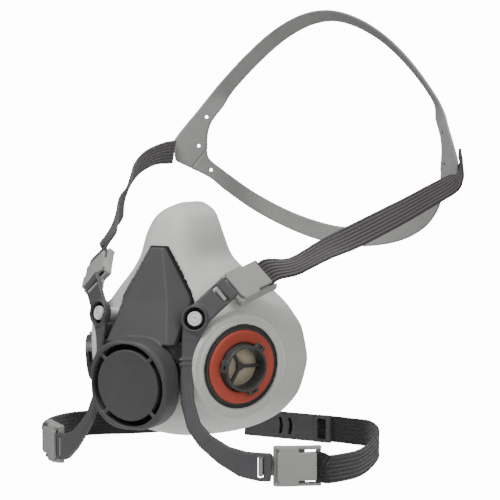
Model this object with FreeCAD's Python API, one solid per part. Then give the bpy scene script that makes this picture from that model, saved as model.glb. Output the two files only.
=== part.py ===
"""Half-face painter's respirator: elastomer facepiece, two bayonet ports, exhalation cover,
harness yoke, four buckles, elastic straps, head cradle and neck clip.

Millimetres. Origin at the centre of the face opening, +X to the right of someone looking at
the front, +Y towards the wearer, +Z up. Each node is written to parts/NODE.step.
"""
import FreeCAD
import Part
import math
import os

Vector = FreeCAD.Vector
X = Vector(1, 0, 0)
Y = Vector(0, 1, 0)
Z = Vector(0, 0, 1)

# Facepiece: height, half width, y of the widest point, y of the front, squareness of the outline
FACE_SECTIONS = [
    (-60.0, 20.0, -22.0, -37.0, 2.0),
    (-57.0, 35.0, -19.0, -45.0, 2.1),
    (-50.0, 45.0, -9.0, -52.0, 2.4),
    (-40.0, 52.0, -1.0, -55.5, 2.8),
    (-22.0, 55.5, 2.0, -56.5, 3.0),
    (-4.0, 53.0, 2.0, -56.5, 3.0),
    (8.0, 48.0, 1.0, -55.5, 2.8),
    (17.0, 41.5, -1.0, -53.5, 2.5),
    (25.0, 31.0, -5.0, -51.5, 2.2),
    (34.0, 21.6, -9.0, -49.0, 2.2),
    (46.0, 16.2, -12.0, -45.5, 2.2),
    (54.5, 12.8, -13.0, -41.5, 2.2),
    (59.0, 9.0, -15.0, -36.0, 2.1),
    (61.0, 4.4, -17.0, -29.0, 2.0),
]
# Side view of the rear edge that lies on the face: height and y
FACE_RIM = [
    (75.0, -4.0), (61.0, -10.0), (48.0, -12.0), (30.0, -5.0), (14.0, 4.0), (-4.0, 8.0),
    (-20.0, 8.5), (-34.0, 5.0), (-45.0, -2.0), (-53.0, -12.0), (-60.0, -20.0), (-75.0, -28.0),
]
FACE_WALL = 3.2
FACE_LIP = 11.0
FACE_LIP_THICKNESS = 3.4

# Inhalation ports
PORT_CENTRE = Vector(44.5, -40.9, -21.6)
PORT_TURN = 62.5
PORT_DROP = 5.0
PORT_CUP_RADIUS = 28.0
PORT_CUP_DEPTH = 4.6
PORT_CUP_ROUND = 2.0
PORT_CUP_MOUTH = 23.6
PORT_NECK_RADIUS = 19.5
PORT_NECK_DEPTH = 16.0
PORT_BORE_RADIUS = 10.8
PORT_BORE_BOTTOM = -0.6
PORT_CHAMBER_RADIUS = 11.2
PORT_TUBE_RADIUS = 12.2
PORT_TUBE_HEIGHT = 4.5
PORT_TUBE_DEPTH = 12.5
PORT_FLANGE_RADIUS = 23.2
PORT_FLANGE_TOP = -0.8
PORT_FLANGE_BOTTOM = -3.0
LUG_RADIUS = 14.0
LUG_COUNT = 3
GUARD_TOP = -1.0
GUARD_BOTTOM = -2.6
GASKET_INNER = 14.3
GASKET_OUTER = 19.6
GASKET_THICKNESS = 1.5
FLAP_RADIUS = 10.4
FLAP_TOP = -2.9
FLAP_THICKNESS = 0.8

# Exhalation valve and front cover
VALVE_TILT = 4.0
COVER_CENTRE = Vector(0, -80.0, -30.0)
COVER_HALF = 23.0
COVER_CORNER = 16.0
COVER_DEPTH = 14.6
COVER_WALL = 1.8
DISC_RADIUS = 18.3
SLOT_RADIUS = 21.3
SPOKE_WIDTH = 2.2
# Shield above the disc: height, half width, half width of the flat middle, y of the middle, y of the side
SHIELD_SECTIONS = [
    (38.7, 4.7, 3.6, -52.2, -51.2),
    (12.0, 21.0, 12.8, -61.8, -51.4),
    (-9.5, 20.8, 18.4, -71.0, -67.8),
]
SHIELD_THICKNESS = 1.6
SHIELD_RELIEF = 0.5
SEAT_DISTANCE = 19.5
SEAT_RADIUS = 19.0
SEAT_BORE = 12.8
SEAT_NECK = 16.6
SEAT_DEPTH = 8.0
EXHALE_FLAP_RADIUS = 16.2

# Harness yoke, right half; the left half is its mirror image
STUD_CENTRE = Vector(29.2, -61.2, 4.0)
TAB_SLOT = Vector(39.3, -52.6, 16.0)
TAB_CROSS = Vector(0.71, 0.16, -0.69)
TAB_WIDTH = 13.0
TAB_THICKNESS = 2.4
SLOT_GAP = 4.6
TAB_SLOT_LENGTH = 10.6
STUD_HOLE_RADIUS = 5.2
STUD_RADIUS = 3.7
STUD_REACH = 10.5
STUD_BOSS_RADIUS = 7.2
LOW_SLOT = Vector(61.9, -51.2, -70.2)
LOW_SLOT_LENGTH = 11.6
# Arm stations from the stud down to the lower slot: centre, width direction, width
ARM_STATIONS = [
    (Vector(29.2, -61.0, 4.0), Vector(0.79, 0.61, 0.0), 12.0),
    (Vector(27.2, -63.2, -8.0), Vector(0.79, 0.61, 0.0), 8.0),
    (Vector(26.6, -64.8, -24.0), Vector(0.79, 0.61, 0.0), 6.0),
    (Vector(27.8, -66.2, -38.0), Vector(0.78, 0.59, 0.2), 7.0),
    (Vector(32.0, -66.6, -50.0), Vector(0.70, 0.50, 0.5), 7.4),
    (Vector(37.8, -65.0, -57.2), Vector(0.52, 0.36, 0.78), 8.4),
    (Vector(46.4, -60.6, -64.4), Vector(0.25, 0.16, 0.95), 10.4),
    (Vector(55.0, -55.8, -68.8), Vector(0.0, 0.0, 1.0), 13.4),
    (Vector(61.9, -51.2, -70.2), Vector(0.0, 0.0, 1.0), 14.6),
    (Vector(65.8, -48.2, -70.4), Vector(0.0, 0.0, 1.0), 14.6),
]
BRIDGE_HEIGHT = 7.0
BRIDGE_Z = -5.4
BRIDGE_THICKNESS = 1.6
# Bridge stations across the middle: x and y
BRIDGE_PATH = [(26.5, -62.0), (22.0, -58.2), (17.0, -56.6), (-17.0, -56.6), (-22.0, -58.2), (-26.5, -62.0)]

# Buckles: length from the slot bar, width and the direction each one points
BUCKLE_START = 7.3
BUCKLE_LENGTH = 31.0
BUCKLE_WIDTH = 20.4
BUCKLE_RAIL = 2.2
PLATE_HALF = 7.0
PLATE_TOP = 2.4
UPPER_RIGHT_DIRECTION = Vector(0.354, 0.878, 0.322)
UPPER_LEFT_DIRECTION = Vector(0.32, 0.78, 0.53)
UPPER_BUCKLE_CROSS = Vector(0.74, -0.05, -0.67)
LOWER_BUCKLE_DIRECTION = Vector(0.79, 0.61, 0.0)

# Straps
STRAP_WIDTH = 14.5
STRAP_THICKNESS = 1.6
CROWN_ROLL = 3.0
CRADLE_PIVOT = Vector(0, 0, 100)
BAND_WIDTH = 10.6
BAND_THICKNESS = 1.6
BAND_CONE = 35.0
CROWN_PATH = [
    Vector(75.8, 124.2, 107.8), Vector(68.8, 128.0, 119.6), Vector(52.7, 129.4, 136.8),
    Vector(35.3, 129.0, 151.0), Vector(17.3, 127.6, 160.3), Vector(0.0, 126.8, 163.6),
]
CROWN_START_WIDTH = Vector(0.668, 0.487, -0.566)
# Rear band from the right junction to the left one
REAR_PATH = [
    Vector(78.6, 121.4, 69.6), Vector(69.8, 138.0, 64.0), Vector(62.3, 149.0, 57.6),
    Vector(52.3, 159.5, 50.0), Vector(40.7, 168.5, 43.6), Vector(27.2, 175.5, 37.9),
    Vector(11.8, 180.5, 33.4), Vector(-6.0, 182.0, 31.0), Vector(-25.8, 178.5, 32.6),
    Vector(-46.0, 168.0, 40.2), Vector(-63.5, 152.5, 52.4), Vector(-72.8, 133.0, 65.4),
    Vector(-81.2, 121.6, 76.6),
]
REAR_END_WIDTH = Vector(0.5, 0.36, 0.79)
# Junction plate outline: distance inwards along the plate, and height
JUNCTION_CORNER = Vector(94.0, 111.0, 78.3)
JUNCTION_DIRECTION = Vector(-0.81, 0.59, 0.0)
JUNCTION_OUTLINE = [
    (0.6, -4.8), (-0.4, 7.3), (4.0, 14.3), (13.4, 26.5), (18.8, 33.9), (32.0, 34.0), (24.2, 22.7),
    (20.8, 17.2), (19.8, 11.1), (19.9, 2.7), (10.6, -9.4), (2.0, -5.8),
]
RIVET_HOLES = [(18.5, 21.9), (14.5, 4.4)]
RIVET_HOLE_RADIUS = 0.9

# Strap routes, from a buckle to the cradle or the clip: points, and the width direction at each
UPPER_RIGHT_PATH = [
    Vector(52.6, -21.0, 27.0), Vector(57.0, -6.0, 29.6), Vector(60.6, 14.0, 35.0),
    Vector(66.0, 45.0, 42.6), Vector(75.5, 80.0, 54.0), Vector(89.0, 105.5, 66.0),
    Vector(94.6, 109.6, 69.6),
]
UPPER_RIGHT_WIDTHS = [
    Vector(0.6, 0.1, -0.8), Vector(-0.1, 0.2, -0.9), Vector(-0.5, 0.3, -0.8), Vector(-0.4, 0.4, -0.8),
    Vector(-0.1, 0.5, -0.9), Vector(0.0, 0.5, -0.9), Vector(0.1, 0.4, -0.9),
]
UPPER_LEFT_PATH = [
    Vector(-51.4, -25.4, 34.6), Vector(-57.5, -14.0, 39.4), Vector(-67.0, 6.0, 46.4),
    Vector(-73.0, 22.0, 54.0), Vector(-78.4, 35.0, 61.6), Vector(-87.5, 55.0, 71.5),
    Vector(-91.5, 72.0, 78.4), Vector(-93.5, 92.0, 82.6), Vector(-94.6, 109.6, 83.2),
]
UPPER_LEFT_WIDTHS = [
    Vector(-0.6, 0.1, -0.8), Vector(-0.8, -0.1, -0.6), Vector(-0.5, 0.2, -0.8), Vector(-0.2, 0.4, -0.9),
    Vector(-0.5, 0.2, -0.8), Vector(-0.4, 0.2, -0.9), Vector(-0.4, 0.2, -0.9), Vector(-0.4, 0.1, -0.9),
    Vector(-0.3, 0.0, -0.9),
]
NECK_RIGHT_PATH = [
    Vector(88.6, -30.4, -72.0), Vector(90.2, -16.0, -72.8), Vector(90.6, 0.0, -73.0),
    Vector(88.6, 18.0, -71.0), Vector(84.0, 34.0, -67.6), Vector(73.0, 46.0, -65.6),
    Vector(60.0, 49.0, -65.6), Vector(48.5, 49.1, -65.6),
]
NECK_LEFT_PATH = [
    Vector(-88.8, -30.6, -70.8), Vector(-97.0, -19.0, -70.8), Vector(-104.0, -2.0, -70.8),
    Vector(-106.0, 18.0, -71.0), Vector(-99.0, 36.0, -71.4), Vector(-84.0, 46.0, -71.0),
    Vector(-66.0, 49.0, -69.0), Vector(-51.2, 49.1, -66.0),
]

# Neck strap clip
CLIP_Y = 48.0
CLIP_Z = -65.6
CLIP_HEIGHT = 15.0
CLIP_THICKNESS = 2.2
HOOK_HEIGHT = 5.0


def unit(vector):
    """Return the vector at length one."""
    result = Vector(vector)
    result.normalize()
    return result


def square_to(vector, axis):
    """Return the unit part of vector that is square to axis."""
    along = unit(axis)
    return unit(vector - along * vector.dot(along))


def mirrored(point):
    """Return the same point on the left side."""
    return Vector(-point.x, point.y, point.z)


def mirror_shape(shape):
    """Return the shape mirrored from right to left."""
    return shape.mirror(Vector(0, 0, 0), X)


def placed(shape, origin, x_axis, z_axis):
    """Move a shape from local axes to origin, with its local x and z along the given directions."""
    z_unit = unit(z_axis)
    x_unit = square_to(x_axis, z_unit)
    y_unit = z_unit.cross(x_unit)
    matrix = FreeCAD.Matrix(
        x_unit.x, y_unit.x, z_unit.x, origin.x,
        x_unit.y, y_unit.y, z_unit.y, origin.y,
        x_unit.z, y_unit.z, z_unit.z, origin.z,
        0, 0, 0, 1)
    moved = shape.copy()
    moved.Placement = FreeCAD.Placement(matrix)
    return moved


def block(x_range, y_range, z_range):
    """Return a box between the given limits."""
    corner = Vector(x_range[0], y_range[0], z_range[0])
    return Part.makeBox(x_range[1] - x_range[0], y_range[1] - y_range[0], z_range[1] - z_range[0], corner)


def rod(radius, low, high, x=0.0, y=0.0):
    """Return a cylinder along local z from low to high."""
    return Part.makeCylinder(radius, high - low, Vector(x, y, low), Z)


def rod_along_y(radius, half_length, x=0.0, z=0.0):
    """Return a cylinder along local y, centred on y = 0."""
    return Part.makeCylinder(radius, 2 * half_length, Vector(x, -half_length, z), Y)


def ring(inner, outer, low, high):
    """Return a flat ring about local z."""
    return rod(outer, low, high).cut(rod(inner, low - 1, high + 1))


def polygon(points):
    """Return a closed wire through the points."""
    return Part.makePolygon(list(points) + [points[0]])


def joined(shapes):
    """Return the union of the shapes as one clean shape."""
    result = shapes[0]
    for shape in shapes[1:]:
        result = result.fuse(shape)
    return result.removeSplitter()


def smoothed(points, per_span):
    """Return points along a smooth curve through the given points."""
    curve = Part.BSplineCurve()
    curve.interpolate(points)
    count = per_span * (len(points) - 1)
    first = curve.FirstParameter
    span = curve.LastParameter - first
    return [curve.value(first + span * index / count) for index in range(count + 1)]


def ribbon(stations, thickness):
    """Return a flat strip through stations of (centre, width direction, width)."""
    sections = []
    last = len(stations) - 1
    for index, (centre, width_direction, width) in enumerate(stations):
        before = stations[max(index - 1, 0)][0]
        after = stations[min(index + 1, last)][0]
        tangent = unit(after - before)
        across = square_to(width_direction, tangent) * (width / 2)
        up = unit(tangent.cross(across)) * (thickness / 2)
        sections.append(polygon([
            centre - across - up,
            centre + across - up,
            centre + across + up,
            centre - across + up,
        ]))
    return Part.makeLoft(sections, True, True)


def even_ribbon(points, width_directions, width, thickness, per_span=3):
    """Return a ribbon of constant width along a smooth curve, turning between width directions."""
    centres = smoothed(points, per_span)
    stations = []
    for index, centre in enumerate(centres):
        place = index / per_span
        low = min(int(place), len(points) - 2)
        share = place - low
        direction = width_directions[low] * (1 - share) + width_directions[low + 1] * share
        stations.append((centre, direction, width))
    return ribbon(stations, thickness)


def face_outline(height, half_width, wide_y, front_y, squareness):
    """Return one closed horizontal outline of the facepiece."""
    power = 2.0 / squareness
    rear_reach = 24.0
    points = []
    count = 20
    for index in range(count):
        angle = 2 * math.pi * index / count
        sine = math.sin(angle)
        cosine = math.cos(angle)
        x = half_width * math.copysign(abs(sine) ** power, sine)
        if cosine > 0:
            y = wide_y + (front_y - wide_y) * abs(cosine) ** power
        else:
            y = wide_y + rear_reach * abs(cosine)
        points.append(Vector(x, y, height))
    curve = Part.BSplineCurve()
    curve.interpolate(Points=points, PeriodicFlag=True)
    return Part.Wire([curve.toShape()])


def face_body(inset):
    """Return the facepiece as a solid lump, drawn in by inset on every side."""
    middle = 0.5 * (FACE_SECTIONS[0][0] + FACE_SECTIONS[-1][0])
    half_height = FACE_SECTIONS[-1][0] - middle
    shrink = (half_height - inset) / half_height
    wires = []
    for height, half_width, wide_y, front_y, squareness in FACE_SECTIONS:
        level = middle + (height - middle) * shrink
        side_inset = min(inset, half_width * 0.6)
        front_inset = min(inset, (wide_y - front_y) * 0.6)
        wires.append(face_outline(level, half_width - side_inset, wide_y, front_y + front_inset, squareness))
    return Part.makeLoft(wires, True, False)


def behind_rim(shift):
    """Return a block that fills everything behind the rear edge, moved by shift along y."""
    points = [Vector(-90, y + shift, z) for z, y in FACE_RIM]
    curve = Part.BSplineCurve()
    curve.interpolate(points)
    top = points[0]
    bottom = points[-1]
    far_y = 90
    edges = [
        curve.toShape(),
        Part.makeLine(bottom, Vector(-90, far_y, bottom.z)),
        Part.makeLine(Vector(-90, far_y, bottom.z), Vector(-90, far_y, top.z)),
        Part.makeLine(Vector(-90, far_y, top.z), top),
    ]
    return Part.Face(Part.Wire(edges)).extrude(Vector(180, 0, 0))


def port_axis():
    """Return the outward direction of the right port."""
    turn = math.radians(PORT_TURN)
    drop = math.radians(PORT_DROP)
    return Vector(math.sin(turn) * math.cos(drop), -math.cos(turn) * math.cos(drop), -math.sin(drop))


def at_port(shape):
    """Place a shape built about local z at the right port."""
    return placed(shape, PORT_CENTRE, Z, port_axis())


def valve_axis():
    """Return the outward direction of the exhalation valve."""
    tilt = math.radians(VALVE_TILT)
    return Vector(0, -math.cos(tilt), -math.sin(tilt))


def at_cover(shape):
    """Place a shape built about local z at the front of the exhalation cover, local x along +X."""
    return placed(shape, COVER_CENTRE, X, valve_axis())


def tab_axes():
    """Return the long, cross and outward directions of the right yoke tab."""
    cross = unit(TAB_CROSS)
    along = square_to(TAB_SLOT - STUD_CENTRE, cross)
    return along, cross, cross.cross(along)


def buckle_axes(direction, cross):
    """Return the long and outward directions of a buckle on a slot bar."""
    along = square_to(direction, cross)
    return along, unit(cross.cross(along))


def face_seal():
    """Elastomer facepiece with turned-in sealing lip, port cups and a valve opening."""
    cup = rod(PORT_CUP_RADIUS, -PORT_CUP_DEPTH, 0)
    cup = cup.makeFillet(PORT_CUP_ROUND, [edge for edge in cup.Edges if len(edge.Vertexes) == 1])
    neck = rod(PORT_NECK_RADIUS, -PORT_NECK_DEPTH, -PORT_CUP_DEPTH + 0.5)
    cup = at_port(cup.fuse(neck))
    body = joined([face_body(0), cup, mirror_shape(cup)])
    cavity = face_body(FACE_WALL).cut(behind_rim(-FACE_LIP_THICKNESS))
    mouth = face_body(FACE_LIP)
    body = body.cut(cavity).cut(mouth).cut(behind_rim(0))
    recess = rod(PORT_CUP_MOUTH, PORT_FLANGE_BOTTOM, 1)
    bore = rod(PORT_TUBE_RADIUS, -PORT_NECK_DEPTH - 6, 1)
    relief = rod(PORT_NECK_RADIUS, -PORT_NECK_DEPTH - 8, -PORT_TUBE_DEPTH + 2.6)
    opening = at_port(recess.fuse(bore).fuse(relief))
    body = body.cut(opening).cut(mirror_shape(opening))
    seat_hole = at_cover(rod(SEAT_NECK, -SEAT_DISTANCE - SEAT_DEPTH - 8, -SEAT_DISTANCE + 6))
    studs = [yoke_stud(), mirror_shape(yoke_stud())]
    for tool in [seat_hole, exhalation_valve_seat(), shield(SHIELD_RELIEF), harness_yoke()] + studs:
        body = body.cut(tool)
    return max(body.Solids, key=lambda solid: solid.Volume)


def port_connector():
    """Hard port body: flange, bayonet tube, Y-shaped valve guard and inner collar."""
    mouth = ring(PORT_BORE_RADIUS, PORT_TUBE_RADIUS, PORT_BORE_BOTTOM, PORT_TUBE_HEIGHT)
    tube = ring(PORT_CHAMBER_RADIUS, PORT_TUBE_RADIUS, -PORT_TUBE_DEPTH, PORT_BORE_BOTTOM)
    flange = ring(PORT_CHAMBER_RADIUS, PORT_FLANGE_RADIUS, PORT_FLANGE_BOTTOM, PORT_FLANGE_TOP - 1.2)
    step = ring(PORT_CHAMBER_RADIUS, GASKET_OUTER + 0.8, PORT_FLANGE_BOTTOM, PORT_FLANGE_TOP)
    collar = ring(PORT_CHAMBER_RADIUS, PORT_TUBE_RADIUS + 3.4, -PORT_TUBE_DEPTH, -PORT_TUBE_DEPTH + 2.4)
    pieces = [mouth, tube, flange, step, collar, rod(1.6, GUARD_BOTTOM, GUARD_TOP)]
    lug_span = (PORT_TUBE_HEIGHT - 2.4, PORT_TUBE_HEIGHT - 0.6)
    for index in range(LUG_COUNT):
        turn = 90.0 + index * 360.0 / LUG_COUNT
        lug = block((PORT_TUBE_RADIUS - 0.6, LUG_RADIUS), (-2.6, 2.6), lug_span)
        bar = block((0.0, PORT_CHAMBER_RADIUS + 0.4), (-0.7, 0.7), (GUARD_BOTTOM, GUARD_TOP))
        lug.rotate(Vector(0, 0, 0), Z, turn)
        bar.rotate(Vector(0, 0, 0), Z, turn + 180.0)
        pieces += [lug, bar]
    return at_port(joined(pieces))


def port_gasket():
    """Flat red sealing ring around the bayonet tube."""
    gasket = ring(GASKET_INNER, GASKET_OUTER, PORT_FLANGE_TOP, PORT_FLANGE_TOP + GASKET_THICKNESS)
    upper_rims = [edge for edge in gasket.Edges if edge.BoundBox.ZMin > PORT_FLANGE_TOP + 0.1]
    return at_port(gasket.makeFillet(0.4, upper_rims))


def inhalation_flap():
    """Thin silicone disc behind the port's guard."""
    return at_port(rod(FLAP_RADIUS, FLAP_TOP - FLAP_THICKNESS, FLAP_TOP))


def exhalation_valve_seat():
    """Hard ring clamped in the facepiece wall, with three bars that hold the flap's stem."""
    front = -SEAT_DISTANCE
    flange = ring(SEAT_BORE, SEAT_RADIUS, front - 2.0, front)
    neck = ring(SEAT_BORE, SEAT_NECK, front - SEAT_DEPTH, front)
    collar = ring(SEAT_BORE, SEAT_NECK + 1.8, front - SEAT_DEPTH, front - SEAT_DEPTH + 1.6)
    pieces = [flange, neck, collar, rod(3.2, front - 2.6, front - 0.6)]
    for index in range(3):
        bar = block((0.0, SEAT_BORE + 0.8), (-0.9, 0.9), (front - 2.6, front - 0.6))
        bar.rotate(Vector(0, 0, 0), Z, 90 + 120 * index)
        pieces.append(bar)
    stem_hole = rod(1.6, front - 4, front + 1)
    return at_cover(joined(pieces).cut(stem_hole))


def exhalation_flap():
    """Thin silicone disc in front of the seat, with a stem through the seat's hub."""
    front = -SEAT_DISTANCE
    disc = rod(EXHALE_FLAP_RADIUS, front + 0.15, front + 1.15)
    stem = rod(1.52, front - 4.2, front + 0.4)
    return at_cover(disc.fuse(stem).removeSplitter())


def rounded_square(half, corner, low, high):
    """Return a prism with a rounded square outline about local z."""
    prism = block((-half, half), (-half, half), (low, high))
    upright = [edge for edge in prism.Edges if edge.BoundBox.ZLength > 0.5 * (high - low)]
    return prism.makeFillet(corner, upright)


def shield_section(row, grow):
    """Return the closed outline of the shield at one height, drawn out by grow."""
    height, half_width, flat_half, middle_y, side_y = row
    half_width += grow
    front = [(-half_width, side_y), (-flat_half, middle_y), (flat_half, middle_y), (half_width, side_y)]
    points = [Vector(x, y - grow, height) for x, y in front]
    points += [Vector(x, y + SHIELD_THICKNESS + 2 * grow, height) for x, y in reversed(front)]
    return polygon(points)


def shield(grow):
    """Return the pointed shield above the boss, grown on every side."""
    top, middle, bottom = SHIELD_SECTIONS
    raised = (top[0] + grow,) + top[1:]
    return Part.makeLoft([shield_section(row, grow) for row in (raised, middle, bottom)], True, True)


def front_cover():
    """Exhalation cover: slotted disc in a rounded boss, with the pointed shield above it."""
    outer = rounded_square(COVER_HALF, COVER_CORNER, -COVER_DEPTH, 0)
    front_edges = [edge for edge in outer.Edges if edge.BoundBox.ZMin > -0.1]
    outer = outer.makeFillet(2.0, front_edges)
    inner_half = COVER_HALF - COVER_WALL
    inner_corner = COVER_CORNER - COVER_WALL
    inner = rounded_square(inner_half, inner_corner, -COVER_DEPTH - 1, -COVER_WALL)
    shield_end = at_cover(rounded_square(inner_half, inner_corner, -40, 5))
    boss = outer.cut(inner)
    slot = ring(DISC_RADIUS, SLOT_RADIUS, -COVER_WALL - 1, 1)
    spokes = block((-30, 30), (-SPOKE_WIDTH / 2, SPOKE_WIDTH / 2), (-5, 5))
    cross = spokes.copy()
    cross.rotate(Vector(0, 0, 0), Z, 90)
    spokes = spokes.fuse(cross)
    spokes.rotate(Vector(0, 0, 0), Z, 45)
    boss = boss.cut(slot.cut(spokes))
    recess = rod(DISC_RADIUS + 0.01, -0.5, 1)
    return joined([at_cover(boss.cut(recess)), shield(0).cut(shield_end)])


def yoke_half():
    """Right tab with stud hole and slot, and the arm down to the lower slot."""
    along, cross, outward = tab_axes()
    half = TAB_THICKNESS / 2
    reach = (TAB_SLOT - STUD_CENTRE).dot(along)
    tab = block((0.0, reach + SLOT_GAP / 2 + 3.2), (-TAB_WIDTH / 2, TAB_WIDTH / 2), (-half, half))
    boss = rod(STUD_BOSS_RADIUS, -half - 1.0, half + 0.6)
    slot_half = TAB_SLOT_LENGTH / 2
    slot = block((reach - SLOT_GAP / 2, reach + SLOT_GAP / 2), (-slot_half, slot_half), (-5, 5))
    tab_end = [edge for edge in tab.Edges if edge.BoundBox.XMin > reach and edge.BoundBox.ZLength > 1]
    tab = placed(tab.makeFillet(2.4, tab_end).cut(slot), STUD_CENTRE, along, outward)
    boss = placed(boss, STUD_CENTRE, along, outward)
    arm = ribbon(ARM_STATIONS, 2.6)
    hole = placed(rod(STUD_HOLE_RADIUS, -half + 0.4, 9), STUD_CENTRE, along, outward)
    neck = placed(rod(STUD_RADIUS + 0.3, -9, 9), STUD_CENTRE, along, outward)
    low_along, low_out = buckle_axes(LOWER_BUCKLE_DIRECTION, Z)
    low_slot = block((-SLOT_GAP / 2, SLOT_GAP / 2), (-LOW_SLOT_LENGTH / 2, LOW_SLOT_LENGTH / 2), (-6, 6))
    low_slot = placed(low_slot, LOW_SLOT, low_along, low_out)
    return joined([tab, boss, arm]).cut(hole).cut(neck).cut(low_slot)


def harness_yoke():
    """One-piece yoke: both halves and the bridge that passes behind the cover."""
    right = yoke_half()
    stations = [(Vector(x, y, BRIDGE_Z), Z, BRIDGE_HEIGHT) for x, y in BRIDGE_PATH]
    return joined([right, mirror_shape(right), ribbon(stations, BRIDGE_THICKNESS)])


def yoke_stud():
    """Domed stud that locates the yoke on the facepiece."""
    along, cross, outward = tab_axes()
    post = rod(STUD_RADIUS, -STUD_REACH, 1.6)
    head = [edge for edge in post.Edges if edge.BoundBox.ZMin > 1.5]
    post = post.makeFillet(1.0, head)
    return placed(post, STUD_CENTRE, along, outward)


def buckle(origin, direction, cross, bar_half):
    """One-piece strap buckle whose hook bar sits in the slot at origin."""
    along, outward = buckle_axes(direction, cross)
    half = BUCKLE_WIDTH / 2
    low = -3.8
    high = -0.9
    bar = rod_along_y(1.1, bar_half)
    riser = block((-0.6, 0.6), (-bar_half, bar_half), (low, 0.0))
    tongue = block((-0.6, BUCKLE_START + 2), (-bar_half, bar_half), (low, low + 1.5))
    pieces = [bar, riser, tongue]
    pieces.append(block((BUCKLE_START, BUCKLE_START + 3), (-half, half), (low, high)))
    pieces.append(block((BUCKLE_LENGTH - 2.6, BUCKLE_LENGTH), (-half, half), (low, high)))
    for side in (-1, 1):
        inner = side * (half - BUCKLE_RAIL)
        outer = side * half
        rail = block((BUCKLE_START, BUCKLE_LENGTH), (min(inner, outer), max(inner, outer)), (low, high + 1.2))
        root = side * (PLATE_HALF - 0.4)
        web_width = (min(root, outer), max(root, outer))
        web = block((BUCKLE_START + 2, BUCKLE_START + 12), web_width, (high - 0.6, PLATE_TOP))
        pieces += [rail, web]
    pieces.append(block((BUCKLE_START + 3, BUCKLE_LENGTH - 4), (-PLATE_HALF, PLATE_HALF), (0.6, PLATE_TOP)))
    return placed(joined(pieces), origin, along, outward)


def upper_buckle(direction):
    """Right upper buckle, pointing along direction."""
    return buckle(TAB_SLOT, direction, unit(UPPER_BUCKLE_CROSS), 3.9)


def lower_buckle():
    """Right lower buckle."""
    return buckle(LOW_SLOT, LOWER_BUCKLE_DIRECTION, Z, 4.9)


def rolled(shape, degrees):
    """Turn a shape of the head cradle by its small sideways roll."""
    turned = shape.copy()
    turned.rotate(CRADLE_PIVOT, Y, degrees)
    return turned


def both_sides(half_path):
    """Return a path from right to left from its right half, which ends in the middle."""
    return list(half_path) + [mirrored(point) for point in reversed(half_path[:-1])]


def junction_plate():
    """Right junction plate of the cradle, with its two rivet holes."""
    points = [Vector(x, y, -BAND_THICKNESS / 2) for x, y in JUNCTION_OUTLINE]
    plate = Part.Face(polygon(points)).extrude(Z * BAND_THICKNESS)
    for x, y in RIVET_HOLES:
        plate = plate.cut(rod(RIVET_HOLE_RADIUS, -5, 5, x, y))
    return placed(plate, JUNCTION_CORNER, JUNCTION_DIRECTION, JUNCTION_DIRECTION.cross(Z))


def crown_band():
    """Band over the crown of the head with a junction plate at each end."""
    path = both_sides(CROWN_PATH)
    cone = math.radians(BAND_CONE)
    directions = []
    for index, point in enumerate(path):
        before = path[max(index - 1, 0)]
        after = path[min(index + 1, len(path) - 1)]
        tangent = unit(after - before)
        radial = square_to(tangent.cross(Vector(0, -1, 0)), tangent)
        directions.append(Y * math.cos(cone) - radial * math.sin(cone))
    directions[0] = mirrored(CROWN_START_WIDTH)
    directions[-1] = CROWN_START_WIDTH
    band = even_ribbon(path, directions, BAND_WIDTH, BAND_THICKNESS)
    plate = junction_plate()
    return rolled(joined([band, plate, mirror_shape(plate)]), CROWN_ROLL)


def rear_band():
    """Band around the back of the head."""
    directions = [mirrored(REAR_END_WIDTH)] + [Z] * (len(REAR_PATH) - 2) + [REAR_END_WIDTH]
    return even_ribbon(REAR_PATH, directions, BAND_WIDTH, BAND_THICKNESS, 2)


def upper_strap_right():
    """Elastic strap pulled straight from the right upper buckle to the cradle."""
    return even_ribbon(UPPER_RIGHT_PATH, UPPER_RIGHT_WIDTHS, STRAP_WIDTH, STRAP_THICKNESS)


def upper_strap_left():
    """Elastic strap hanging slack, with a half twist, from the left upper buckle to the cradle."""
    return even_ribbon(UPPER_LEFT_PATH, UPPER_LEFT_WIDTHS, STRAP_WIDTH, STRAP_THICKNESS)


def neck_strap(path):
    """Elastic strap around one side of the neck."""
    return even_ribbon(path, [Z] * len(path), STRAP_WIDTH, STRAP_THICKNESS)


def clip_frame(inner_x, outer_x, side):
    """Clip plate with a strap window at its outer end, in the right half's place or mirrored."""
    half = CLIP_HEIGHT / 2
    depth = (CLIP_Y, CLIP_Y + CLIP_THICKNESS)
    plate = block((inner_x, outer_x), depth, (CLIP_Z - half, CLIP_Z + half))
    window_heights = (CLIP_Z - half + 2, CLIP_Z + half - 2)
    window = block((outer_x - 8.0, outer_x - 2.6), (CLIP_Y - 5, CLIP_Y + 8), window_heights)
    plate = plate.cut(window)
    return plate if side > 0 else mirror_shape(plate)


def neck_clip_receiver():
    """Right half of the neck clip: slotted plate and a hook that faces forwards."""
    low = CLIP_Z - HOOK_HEIGHT / 2
    high = CLIP_Z + HOOK_HEIGHT / 2
    plate = clip_frame(-8.0, 47.0, 1)
    for x in (15.0, 21.0):
        slot = block((x, x + 1.8), (CLIP_Y - 5, CLIP_Y + 8), (CLIP_Z - 4.5, CLIP_Z + 4.5))
        plate = plate.cut(slot)
    neck = block((-16.0, -7.0), (CLIP_Y, CLIP_Y + 2.0), (low, high))
    lip = block((-16.0, -14.0), (CLIP_Y - 3.2, CLIP_Y + 2.0), (low, high))
    return joined([plate, neck, lip])


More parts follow.
